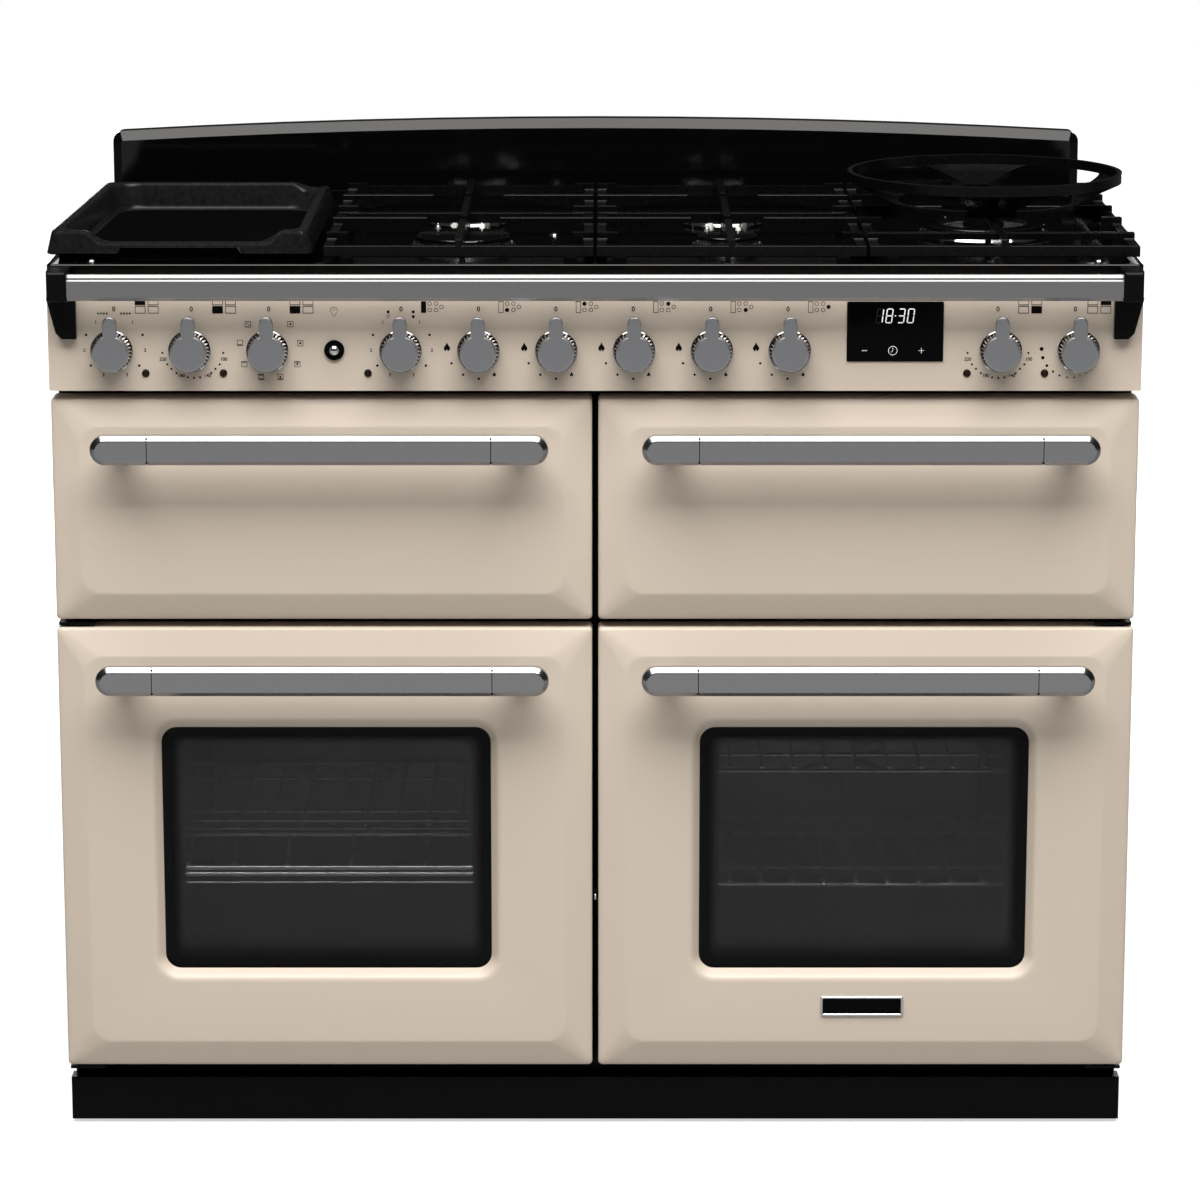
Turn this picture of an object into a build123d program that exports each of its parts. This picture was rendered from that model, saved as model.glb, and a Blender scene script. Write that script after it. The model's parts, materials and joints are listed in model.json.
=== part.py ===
from build123d import *
import math
import os

# Overall size in millimetres. The front faces -Y, and depths count back from the door faces.
cooker_width = 1092.0
body_depth = 608.0
handle_reach = 48.0

# Front elevation, from the floor up
plinth_clearance = 4.0
plinth_height = 46.0
ledge_height = 18.0
door_height = 464.5
drawer_height = 227.5
row_gap = 8.75
fascia_height = 115.5
lip_height = 12.0

# Sheet metal and fits
sheet = 2.0
running = 0.05
slip = 0.3

# Case, plinth and feet
side_inset = 4.0
back_recess = 24.0
base_drop = 4.0
base_skirt = 42.0
plinth_setback = 24.0
plinth_inset = 1.0
foot_inset = 60.0
foot_radius = 20.0
foot_thickness = 10.0
stud_radius = 6.0
vent_length = 70.0
vent_width = 6.0
vent_pitch_x = 90.0
vent_pitch_z = 16.0
restraint_spacing = 500.0
restraint_hole_radius = 3.25
restraint_drop = 50.0

# Door and drawer fronts
door_gap = 6.2
door_depth = 38.0
door_standoff = 6.0
door_corner = 4.0
bevel_width = 28.0
bevel_drop = 9.0
field_corner = 20.0
window_width = 336.0
window_height = 256.0
window_corner = 16.0
window_lip = 10.0
glass_thickness = 4.0
glass_overlap = 14.0
inner_window_margin = 20.0

# Door hinges and catch
hinge_inset = 12.0
hinge_depth = 20.0
hinge_pin_radius = 4.0
hinge_pin_length = 12.0
hinge_plate = 3.0
hinge_plate_length = 36.0
hinge_lift = 2.0
hinge_boss = 9.0
catch_width = 3.6
catch_height = 12.0
catch_reach = 30.0
catch_rise = 176.0

# Handles
handle_inset = 43.5
handle_drop = 44.0
handle_height = 30.0
handle_thickness = 14.0
handle_chamfer = 5.0
handle_end = 57.0
handle_post_width = 34.0
handle_post_height = 20.0

# Ovens and upper chambers
oven_side_margin = 51.0
oven_margin = 32.0
chamber_margin = 22.0
cavity_depth = 400.0
cavity_corner = 18.0
cavity_flange = 18.0
seal_width = 10.0

# Oven fans and elements
motor_radius = 38.0
motor_length = 55.0
shaft_radius = 4.0
fan_radius = 72.0
fan_hub_radius = 14.0
fan_depth = 24.0
fan_gap = 8.0
fan_blades = 12
fan_cover_width = 300.0
fan_cover_height = 280.0
fan_cover_depth = 45.0
element_radius = 3.3
element_leg_radius = 2.8
ring_element_radius = 88.0
element_leg_spacing = 20.0
element_runs = 6
element_pitch = 60.0
element_bend = 25.0
element_drop = 24.0

# Shelves, ladders and the rack on the left door
wire_radius = 2.5
thin_wire = 2.0
shelf_depth = 270.0
shelf_bars = 13
ladder_levels = 5
ladder_pitch = 62.0
ladder_standoff = 8.0
left_shelf_level = 2
right_shelf_levels = (1, 3)
rack_width = 380.0
rack_depth = 68.0
rack_rise = 208.0
rack_rods = 7

# Pull-out compartments
runner_width = 12.0
runner_height = 34.0
runner_rise = 62.0
runner_length = 370.0
runner_gap = 2.0
tray_depth = 360.0
tray_rise = 22.0
tray_height = 130.0
carriage_ledge = 16.0
pan_depth = 44.0
pan_rim = 14.0
pan_length = 320.0
trivet_bars = 11

# Control fascia and knobs
knob_edge = 64.0
knob_pitch = 77.6
knob_rise = 41.0
knob_radius = 21.2
knob_face_radius = 18.2
knob_height = 19.0
knob_gap = 5.0
pointer_width = 14.0
pointer_reach = 37.0
pointer_thickness = 12.0
spindle_radius = 4.0
spindle_seat = 12.0
spindle_hole = 7.0
push_travel = 4.0
switch_size = 34.0
switch_depth = 34.0
lens_radius = 3.0
lens_head_radius = 3.8
lens_reach = 33.0
lens_drop = 23.0
display_width = 96.0
display_height = 60.0
display_rise = 60.0
display_face = 1.2
display_housing = 28.0
button_radius = 5.5
button_proud = 7.0
button_travel = 3.0
bezel_radius = 10.0
bezel_proud = 2.5
control_slot_margin = 20.0

# Gas supply
rail_size = 18.0
rail_rise = 6.0
rail_depth = 14.0
tap_width = 28.0
tap_depth = 32.0
tap_front = 8.0
pipe_radius = 8.0
pipe_bend = 30.0
pipe_edge = 36.0
inlet_radius = 14.0
inlet_bore = 9.3
inlet_length = 18.0
feed_radius = 4.0
feed_bend = 12.0

# Mains terminal box
terminal_width = 130.0
terminal_height = 90.0
terminal_depth = 20.0
terminal_rise = 300.0
gland_radius = 9.5
gland_bore = 6.5
gland_length = 16.0

# Hob tray and upstand
rim_width = 12.0
tray_corner = 6.0
upstand_depth = 30.0
upstand_inset = 6.0
upstand_height = 92.0
upstand_arch = 15.0
upstand_corner = 12.0
upstand_bevel = 10.0

# Burners, in depth behind the door faces
burner_front = 190.0
burner_rear = 373.0
burner_middle = 281.0
burner_cap = 4.0
burner_head = 6.0
burner_skirt = 4.0
burner_neck = 16.0
burner_drop = 22.0
burner_lip = 6.0
port_width = 2.4
port_pitch = 9.0
cap_front_left = 49.0
cap_rear_left = 34.5
cap_rear_centre = 36.0
cap_front_centre = 31.5
cap_wok = 64.0
wok_channel = 18.0
wok_inner_cap = 22.0

# Pan supports
hob_edge = 0.0
support_front = 22.0
support_length = 486.0
support_gap = 1.5
support_bar = 10.0
support_bar_height = 11.0
support_lift = 14.0
finger_width = 8.0
finger_rise = 7.0
finger_gap = 37.0
finger_tip = 4.0
spine_gap = 16.0
support_foot = 14.0
support_foot_inset = 16.0
support_lug = 22.0
lug_front = 76.0
lug_rear = 470.0
wok_finger_gap = 44.0
wok_bridge = 7.5

# Griddle and wok ring
griddle_front = 18.0
griddle_length = 400.0
griddle_overhang = 2.0
griddle_width = 265.0
griddle_taper = 15.0
griddle_draft = 4.5
griddle_corner = 8.0
griddle_height = 23.5
griddle_wall = 10.0
griddle_floor = 9.0
griddle_foot = 17.0
griddle_foot_radius = 8.0
griddle_dip = 12.0
griddle_dip_width = 166.0
griddle_dip_offset = 4.5
griddle_dip_ramp = 13.0
griddle_notch_width = 120.0
griddle_notch_height = 6.0
hotplate_thickness = 6.0
hotplate_margin = 40.0
wok_rim_radius = 144.0
wok_rim_width = 5.0
wok_base_radius = 100.0
wok_base_width = 8.0
wok_height = 37.0
wok_rim_height = 10.0
wok_base_height = 6.0
wok_wall = 5.0
wok_windows = 4
wok_window_width = 114.0
wok_window_corner = 9.0

# Handrail and brackets
rail_reach = 36.0
handrail_depth = 12.0
handrail_height = 26.0
handrail_drop = 6.0
handrail_top_bevel = 6.0
handrail_bottom_bevel = 4.0
bracket_width = 24.0
bracket_leg_width = 29.0
bracket_leg_depth = 9.0
bracket_leg_drop = 41.4
bracket_leg_taper = 9.0
bracket_leg_chamfer = 6.0
bracket_reach = 40.0
bracket_margin = 0.6
bracket_rise = 4.0
bracket_inset = 4.0
bracket_round = 4.0

# Places that follow from these sizes
front_y = -(body_depth - handle_reach) / 2
half_width = cooker_width / 2
plinth_top = plinth_clearance + plinth_height
door_bottom = plinth_top + ledge_height
door_top = door_bottom + door_height
drawer_bottom = door_top + row_gap
drawer_top = drawer_bottom + drawer_height
fascia_bottom = drawer_top + row_gap
fascia_top = fascia_bottom + fascia_height
hob_top = fascia_top + lip_height
hob_floor = fascia_top + sheet
door_width = (cooker_width - door_gap) / 2
column_x = (door_width + door_gap) / 2
frame_front = door_depth + door_standoff
frame_back = frame_front + sheet
case_half = half_width - side_inset
inner_half = case_half - sheet
base_top = door_bottom - base_drop
base_bottom = base_top - base_skirt
back_front = body_depth - back_recess - sheet
oven_width = door_width - 2 * oven_side_margin
oven_floor = door_bottom + oven_margin
oven_height = door_height - 2 * oven_margin
oven_ceiling = oven_floor + oven_height
chamber_floor = drawer_bottom + chamber_margin
chamber_height = drawer_height - 2 * chamber_margin
chamber_ceiling = chamber_floor + chamber_height
cavity_rear = frame_back + cavity_depth
fan_z = oven_floor + oven_height / 2
knob_z = fascia_bottom + knob_rise
knob_front = knob_gap + knob_height
spindle_tip = knob_gap + spindle_seat - slip
gas_spindle_tip = spindle_tip - push_travel
sides = ((-1, "left"), (1, "right"))


def front_plane(depth):
    """Upright plane at a depth behind the door faces, with X across and Z up."""
    return Plane.XZ.offset(-(front_y + depth))


def block(x0, x1, d0, d1, z0, z1, mode=Mode.ADD):
    """Box given by its edges, with depth counted back from the door faces."""
    with Locations(((x0 + x1) / 2, front_y + (d0 + d1) / 2, (z0 + z1) / 2)):
        Box(x1 - x0, d1 - d0, z1 - z0, mode=mode)


def rod(x, z, d0, d1, radius, mode=Mode.ADD):
    """Round bar along the depth."""
    with Locations((x, front_y + (d0 + d1) / 2, z)):
        Cylinder(radius, d1 - d0, rotation=(90, 0, 0), mode=mode)


def post(x, depth, z0, z1, radius, mode=Mode.ADD):
    """Upright round bar."""
    with Locations((x, front_y + depth, (z0 + z1) / 2)):
        Cylinder(radius, z1 - z0, mode=mode)


def bar(x0, x1, depth, z, radius, mode=Mode.ADD):
    """Round bar across the width."""
    with Locations(((x0 + x1) / 2, front_y + depth, z)):
        Cylinder(radius, x1 - x0, rotation=(0, 90, 0), mode=mode)


def bent_tube(points, bend, radius):
    """Round tube through points of (x, depth, z), with rounded corners."""
    with BuildPart() as tube:
        with BuildLine() as route:
            FilletPolyline(*[(x, front_y + d, z) for x, d, z in points], radius=bend)
        with BuildSketch(Plane(origin=route.line @ 0, z_dir=route.line % 0)):
            Circle(radius)
        sweep(path=route.line)
    return tube.part


os.makedirs("parts", exist_ok=True)

# Case: base frame, feet, plinth, outer panels and front frame
with BuildPart() as base_frame:
    block(-inner_half, inner_half, frame_front, back_front, base_top - sheet, base_top)
    skirt_top = base_top - sheet
    block(-inner_half, inner_half, frame_front, frame_back, base_bottom, skirt_top)
    block(-inner_half, inner_half, back_front - sheet, back_front, base_bottom, skirt_top)
    for edge in (-inner_half, inner_half - sheet):
        block(edge, edge + sheet, frame_front, back_front, base_bottom, skirt_top)
base_frame.part.label = "base_frame"
export_step(base_frame.part, "parts/base_frame.step")

with BuildPart() as levelling_feet:
    for x in (-inner_half + foot_inset, inner_half - foot_inset):
        for depth in (frame_front + foot_inset, back_front - foot_inset):
            post(x, depth, 0, foot_thickness, foot_radius)
            post(x, depth, foot_thickness, skirt_top, stud_radius)
levelling_feet.part.label = "levelling_feet"
export_step(levelling_feet.part, "parts/levelling_feet.step")

with BuildPart() as plinth:
    plinth_half = half_width - plinth_inset
    plinth_back = plinth_setback + sheet
    block(-plinth_half, plinth_half, plinth_setback, plinth_back, plinth_clearance, plinth_top)
    block(-plinth_half, plinth_half, plinth_back, frame_front, plinth_top - sheet, plinth_top)
    for edge in (-plinth_half, plinth_half - sheet):
        block(edge, edge + sheet, plinth_back, frame_front, plinth_clearance, plinth_top - sheet)
plinth.part.label = "plinth"
export_step(plinth.part, "parts/plinth.step")

with BuildPart() as side_panels:
    for edge in (-case_half, inner_half):
        block(edge, edge + sheet, frame_front, body_depth, base_bottom, fascia_top)

gas_x = inner_half - pipe_edge
gas_z = fascia_bottom + rail_rise + rail_size / 2
with BuildPart() as back_panel:
    block(-inner_half, inner_half, back_front, back_front + sheet, base_bottom, fascia_top)
    with BuildSketch(front_plane(back_front)) as vents:
        with Locations((0, oven_ceiling)):
            with GridLocations(vent_pitch_x, vent_pitch_z, 8, 6):
                SlotOverall(vent_length, vent_width)
        with Locations((0, fascia_top - restraint_drop)):
            with GridLocations(restraint_spacing, 1, 2, 1):
                Circle(restraint_hole_radius)
        with Locations((gas_x, gas_z)):
            Circle(inlet_radius + sheet)
    extrude(amount=-sheet, mode=Mode.SUBTRACT)
outer_panels = Compound([side_panels.part, back_panel.part])
outer_panels.label = "outer_panels"
export_step(outer_panels, "parts/outer_panels.step")

with BuildPart() as front_frame:
    block(-inner_half, inner_half, frame_front, frame_back, base_top, fascia_top)
    with BuildSketch(front_plane(frame_front)) as openings:
        for side, name in sides:
            with Locations((side * column_x, oven_floor + oven_height / 2)):
                RectangleRounded(oven_width, oven_height, cavity_corner)
            with Locations((side * column_x, chamber_floor + chamber_height / 2)):
                RectangleRounded(oven_width, chamber_height, cavity_corner)
        with Locations((0, fascia_bottom + fascia_height / 2)):
            Rectangle(
                2 * inner_half - 2 * control_slot_margin,
                fascia_height - 4 * sheet,
            )
    extrude(amount=-sheet, mode=Mode.SUBTRACT)
front_frame.part.label = "front_frame"
export_step(front_frame.part, "parts/front_frame.step")


# Oven boxes and upper chambers: enamelled boxes with a flange behind the front frame
def cavity(x, floor, height, rear_holes):
    """Open-fronted box with rounded corners, a front flange and round holes in its rear wall."""
    middle = (x, floor + height / 2)
    wide = oven_width + 2 * sheet
    tall = height + 2 * sheet
    with BuildPart() as box:
        with BuildSketch(front_plane(frame_back)):
            with Locations(middle):
                RectangleRounded(wide, tall, cavity_corner + sheet)
        extrude(amount=-(cavity_depth + sheet))
        with BuildSketch(front_plane(frame_back)):
            with Locations(middle):
                RectangleRounded(wide + 2 * cavity_flange, tall + 2 * cavity_flange, cavity_corner)
        extrude(amount=-sheet)
        with BuildSketch(front_plane(frame_back)):
            with Locations(middle):
                RectangleRounded(oven_width, height, cavity_corner)
        extrude(amount=-cavity_depth, mode=Mode.SUBTRACT)
        for hole_x, hole_z, hole_radius in rear_holes:
            rod(hole_x, hole_z, cavity_rear, cavity_rear + sheet, hole_radius, Mode.SUBTRACT)
    return box.part


leg_z = fan_z - math.sqrt(ring_element_radius**2 - (element_leg_spacing / 2) ** 2)
leg_hole = element_radius + slip
grill_element_z = chamber_ceiling - element_drop
slow_element_z = chamber_floor + tray_rise / 2
run_offset = (element_runs - 1) * element_pitch / 2
oven_boxes = []
for side, name in sides:
    x = side * column_x
    holes = [(x, fan_z, shaft_radius + sheet)]
    for leg in (-element_leg_spacing / 2, element_leg_spacing / 2):
        holes.append((x + leg, leg_z, leg_hole))
    oven_boxes.append(cavity(x, oven_floor, oven_height, holes))
oven_cavities = Compound(oven_boxes)
oven_cavities.label = "oven_cavities"
export_step(oven_cavities, "parts/oven_cavities.step")

chamber_boxes = []
for side, element_z in ((-1, grill_element_z), (1, slow_element_z)):
    x = side * column_x
    holes = [(x + leg, element_z, leg_hole) for leg in (-run_offset, run_offset)]
    chamber_boxes.append(cavity(x, chamber_floor, chamber_height, holes))
upper_chambers = Compound(chamber_boxes)
upper_chambers.label = "upper_chambers"
export_step(upper_chambers, "parts/upper_chambers.step")

with BuildPart() as oven_door_seals:
    with BuildSketch(front_plane(frame_front)) as seal_rings:
        for side, name in sides:
            with Locations((side * column_x, oven_floor + oven_height / 2)):
                outer = 2 * seal_width + 2 * sheet
                RectangleRounded(oven_width + outer, oven_height + outer, cavity_corner + seal_width)
                RectangleRounded(
                    oven_width + 2 * sheet,
                    oven_height + 2 * sheet,
                    cavity_corner,
                    mode=Mode.SUBTRACT,
                )
    extrude(amount=door_standoff - slip)
oven_door_seals.part.label = "oven_door_seals"
export_step(oven_door_seals.part, "parts/oven_door_seals.step")

# Hinge brackets with their pins, the door catch and the fixed drawer runners
hinge_x = half_width - hinge_inset
with BuildPart() as hinge_hardware:
    for side, name in sides:
        outer = side * (half_width - hinge_lift)
        inner = side * (half_width - hinge_lift - hinge_plate_length)
        x0, x1 = sorted((outer, inner))
        top_plate = door_top + hinge_lift
        bottom_plate = door_bottom - hinge_lift
        front = hinge_depth - 2 * hinge_pin_radius
        block(x0, x1, front, frame_front, top_plate, top_plate + hinge_plate)
        block(x0, x1, front, frame_front, bottom_plate - hinge_plate, bottom_plate)
        pin_x = side * hinge_x
        post(pin_x, hinge_depth, door_top - hinge_pin_length, top_plate, hinge_pin_radius)
        post(pin_x, hinge_depth, bottom_plate, door_bottom + hinge_pin_length, hinge_pin_radius)
    catch_z = door_bottom + catch_rise
    half_catch = catch_width / 2
    block(-half_catch, half_catch, frame_front - catch_reach, frame_front, catch_z, catch_z + catch_height)

runner_z = chamber_floor + runner_rise
runner_start = frame_back + sheet
with BuildPart() as drawer_runners:
    for side, name in sides:
        for wall in (-1, 1):
            wall_x = side * column_x + wall * oven_width / 2
            x0, x1 = sorted((wall_x, wall_x - wall * runner_width))
            half_runner = runner_height / 2
            end = runner_start + runner_length
            block(x0, x1, runner_start, end, runner_z - half_runner, runner_z + half_runner)
            x0, x1 = sorted((wall_x - wall * sheet, wall_x - wall * runner_width))
            slot = half_runner - sheet
            block(x0, x1, runner_start, end, runner_z - slot, runner_z + slot, Mode.SUBTRACT)
runners_and_hinges = Compound([hinge_hardware.part, drawer_runners.part])
runners_and_hinges.label = "runners_and_hinges"
export_step(runners_and_hinges, "parts/runners_and_hinges.step")

# Oven fans: motor and shaft behind the rear wall, slotted cover in front of the impeller
fan_rear = cavity_rear - fan_gap
fan_front = fan_rear - fan_depth
cover_front = cavity_rear - fan_cover_depth
hub_wall = fan_hub_radius - shaft_radius
fan_pieces = []
for side, name in sides:
    x = side * column_x
    with BuildPart() as motor:
        rod(x, fan_z, cavity_rear + sheet, cavity_rear + sheet + motor_length, motor_radius)
        rod(x, fan_z, fan_front + hub_wall / 2 + slip, cavity_rear + sheet, shaft_radius)
    fan_pieces.append(motor.part)
    with BuildPart() as cover:
        half_cover = fan_cover_width / 2
        cover_bottom = fan_z - fan_cover_height / 2
        cover_top = fan_z + fan_cover_height / 2
        block(x - half_cover, x + half_cover, cover_front, cavity_rear, cover_bottom, cover_top)
        block(
            x - half_cover + sheet,
            x + half_cover - sheet,
            cover_front + sheet,
            cavity_rear,
            cover_bottom + sheet,
            cover_top - sheet,
            Mode.SUBTRACT,
        )
        with BuildSketch(front_plane(cover_front)) as inlet_slots:
            with Locations((x, fan_z)):
                with PolarLocations(fan_radius / 2, 16):
                    SlotOverall(fan_radius / 2, vent_width)
                with Locations((0, fan_cover_height / 2 - vent_length / 2)):
                    with GridLocations(2 * vent_width, 1, 9, 1):
                        SlotOverall(vent_length / 2, vent_width, rotation=90)
        extrude(amount=-sheet, mode=Mode.SUBTRACT)
        with BuildSketch(Plane.YZ.offset(x - half_cover)) as outlet_slots:
            with Locations((front_y + cavity_rear - fan_cover_depth / 2, fan_z)):
                with GridLocations(1, vent_pitch_z, 1, 12):
                    SlotOverall(fan_cover_depth / 2, vent_width)
        extrude(amount=fan_cover_width, mode=Mode.SUBTRACT)
    fan_pieces.append(cover.part)

    with BuildPart() as impeller:
        rod(x, fan_z, fan_front, fan_rear, fan_hub_radius)
        rod(x, fan_z, fan_rear - sheet, fan_rear, fan_radius)
        blade_length = fan_radius / 2
        with Locations(Plane(origin=(x, front_y + (fan_front + fan_rear) / 2, fan_z), z_dir=(0, -1, 0))):
            with PolarLocations(fan_radius - blade_length / 2, fan_blades):
                Box(blade_length, sheet, fan_depth)
        bore = shaft_radius + running
        rod(x, fan_z, fan_front + hub_wall / 2, fan_rear, bore, Mode.SUBTRACT)
    impeller.part.label = f"{name}_fan_impeller"
    export_step(impeller.part, f"parts/{name}_fan_impeller.step")
oven_fans = Compound(fan_pieces)
oven_fans.label = "oven_fans"
export_step(oven_fans, "parts/oven_fans.step")

# Heating elements: rings round the fans, a grill and a slow-cook element, and the griddle hotplate
ring_depth = cavity_rear - fan_gap - fan_depth / 2
element_end = cavity_rear + sheet + 2 * element_bend / 3


def element_flange(x, z):
    """Fixing plate on the inside of a rear wall, round the element's legs."""
    plate = 2 * element_radius + sheet
    block(x - plate, x + plate, cavity_rear - sheet, cavity_rear, z - plate, z + plate)


element_pieces = []
for side, name in sides:
    x = side * column_x
    with BuildPart() as ring_element:
        with Locations((x, front_y + ring_depth, fan_z)):
            Torus(ring_element_radius, element_radius, rotation=(90, 0, 0))
        for leg in (-element_leg_spacing / 2, element_leg_spacing / 2):
            rod(x + leg, leg_z, ring_depth, element_end, element_leg_radius)
            element_flange(x + leg, leg_z)
    element_pieces.append(ring_element.part)

for side, element_z in ((-1, grill_element_z), (1, slow_element_z)):
    x = side * column_x
    turn_front = frame_back + 2 * element_pitch
    turn_rear = cavity_rear - element_pitch
    route = []
    for run in range(element_runs):
        run_x = x - run_offset + run * element_pitch
        ends = [(run_x, turn_rear, element_z), (run_x, turn_front, element_z)]
        if run % 2:
            ends.reverse()
        route.extend(ends)
    route[0] = (x - run_offset, element_end, element_z)
    route[-1] = (x + run_offset, element_end, element_z)
    with BuildPart() as flat_element:
        add(bent_tube(route, element_bend, element_radius))
        for leg in (-run_offset, run_offset):
            element_flange(x + leg, element_z)
    element_pieces.append(flat_element.part)

hob_pitch = (cooker_width - 2 * hob_edge) / 4
griddle_half = griddle_width / 2
griddle_x = -half_width - griddle_overhang + griddle_half
with BuildPart() as hotplate:
    block(
        griddle_x - griddle_half + hotplate_margin,
        griddle_x + griddle_half - hotplate_margin,
        griddle_front + hotplate_margin,
        griddle_front + griddle_length - hotplate_margin,
        hob_floor,
        hob_floor + hotplate_thickness,
    )
element_pieces.append(hotplate.part)
heating_elements = Compound(element_pieces)
heating_elements.label = "heating_elements"
export_step(heating_elements, "parts/heating_elements.step")

# Wire shelves and the ladders that carry them
ladder_x = oven_width / 2 - ladder_standoff
rung_x = ladder_x - wire_radius - thin_wire / 4
ladder_front = frame_back + rack_depth
shelf_front = ladder_front + ladder_standoff
shelf_half = rung_x - 2 * wire_radius
first_level = oven_floor + ladder_pitch


def wire_shelf(x, z):
    """Flat wire shelf: cross wires below, bars from front to back on top of them."""
    rear = shelf_front + shelf_depth
    with BuildPart() as shelf:
        for depth in (shelf_front, rear):
            bar(x - shelf_half, x + shelf_half, depth, z, wire_radius)
        for depth in (shelf_front + shelf_depth / 4, rear - shelf_depth / 4):
            bar(x - ladder_x, x + ladder_x, depth, z, wire_radius)
        spacing = 2 * (shelf_half - 2 * wire_radius) / (shelf_bars - 1)
        for place in range(shelf_bars):
            bar_x = x - shelf_half + 2 * wire_radius + place * spacing
            rod(bar_x, z + wire_radius, shelf_front, rear, thin_wire)
    return shelf.part


def ladder(wall_x, wall):
    """Upright wire frame hung on an oven side wall, with rungs on its inner side."""
    x = wall_x - wall * ladder_standoff
    rear = ladder_front + shelf_depth
    top = first_level + (ladder_levels - 1) * ladder_pitch
    with BuildPart() as frame:
        for depth in (ladder_front + ladder_standoff, rear - ladder_standoff):
            post(x, depth, first_level - ladder_standoff, top + ladder_standoff, wire_radius)
            for z in (first_level + ladder_pitch / 2, top - ladder_pitch / 2):
                x0, x1 = sorted((x, wall_x))
                bar(x0, x1, depth, z, thin_wire)
        inset = oven_width / 2 - rung_x
        for level in range(ladder_levels):
            z = first_level + level * ladder_pitch
            rod(wall_x - wall * inset, z, ladder_front, rear, wire_radius)
    return frame.part


rack_pieces = []
for side, name in sides:
    for wall in (-1, 1):
        rack_pieces.append(ladder(side * column_x + wall * oven_width / 2, wall))
shelf_lift = 2 * wire_radius + running
rack_pieces.append(wire_shelf(-column_x, first_level + left_shelf_level * ladder_pitch + shelf_lift))
for level in right_shelf_levels:
    rack_pieces.append(wire_shelf(column_x, first_level + level * ladder_pitch + shelf_lift))
oven_racks = Compound(rack_pieces)
oven_racks.label = "oven_racks"
export_step(oven_racks, "parts/oven_racks.step")


# Fronts of the doors and pull-out compartments
def pressed_front(x, bottom, height):
    """Pressed panel with a raised flat field, sloping borders and a hollow back."""
    middle = (x, bottom + height / 2)
    with BuildPart() as front:
        with BuildSketch(front_plane(door_depth)):
            with Locations(middle):
                RectangleRounded(door_width, height, door_corner)
        extrude(amount=door_depth - bevel_drop)
        with BuildSketch(front_plane(bevel_drop)):
            with Locations(middle):
                RectangleRounded(door_width, height, door_corner)
        with BuildSketch(front_plane(0)):
            with Locations(middle):
                field_width = door_width - 2 * bevel_width
                RectangleRounded(field_width, height - 2 * bevel_width, field_corner)
        loft(ruled=True)
        with BuildSketch(front_plane(door_depth)):
            with Locations(middle):
                RectangleRounded(door_width - 2 * sheet, height - 2 * sheet, door_corner - sheet)
        extrude(amount=door_depth - bevel_drop - sheet, mode=Mode.SUBTRACT)
    return front.part


def rear_liner(x, bottom, height):
    """Flat plate that closes the back of a pressed front."""
    edge = sheet + running
    with BuildPart() as liner:
        with BuildSketch(front_plane(door_depth)):
            with Locations((x, bottom + height / 2)):
                RectangleRounded(door_width - 2 * edge, height - 2 * edge, door_corner - sheet)
        extrude(amount=sheet)
    return liner.part


def handle(x, top):
    """Bevelled bar between two end posts with half-round ends."""
    z = top - handle_drop
    length = door_width - 2 * handle_inset
    inner_end = length / 2 - handle_end
    bar_rear = handle_thickness - handle_reach
    pieces = []
    spans = (
        (-length / 2, -inner_end),
        (-inner_end + slip, inner_end - slip),
        (inner_end, length / 2),
    )
    for start, end in spans:
        with BuildPart() as piece:
            with BuildSketch(front_plane(bar_rear)):
                with Locations((x, z)):
                    SlotOverall(length, handle_height)
            extrude(amount=handle_thickness)
            chamfer(piece.faces().sort_by(Axis.Y)[0].edges(), handle_chamfer)
            block(
                x + start,
                x + end,
                -handle_reach,
                bar_rear,
                z - handle_height / 2,
                z + handle_height / 2,
                Mode.INTERSECT,
            )
            if end - start < 2 * inner_end - 2 * slip:
                with BuildSketch(front_plane(0)):
                    with Locations((x + (start + end) / 2, z)):
                        SlotOverall(handle_post_width, handle_post_height)
                extrude(amount=-bar_rear)
        pieces.append(piece.part)
    return Compound(pieces)


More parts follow.
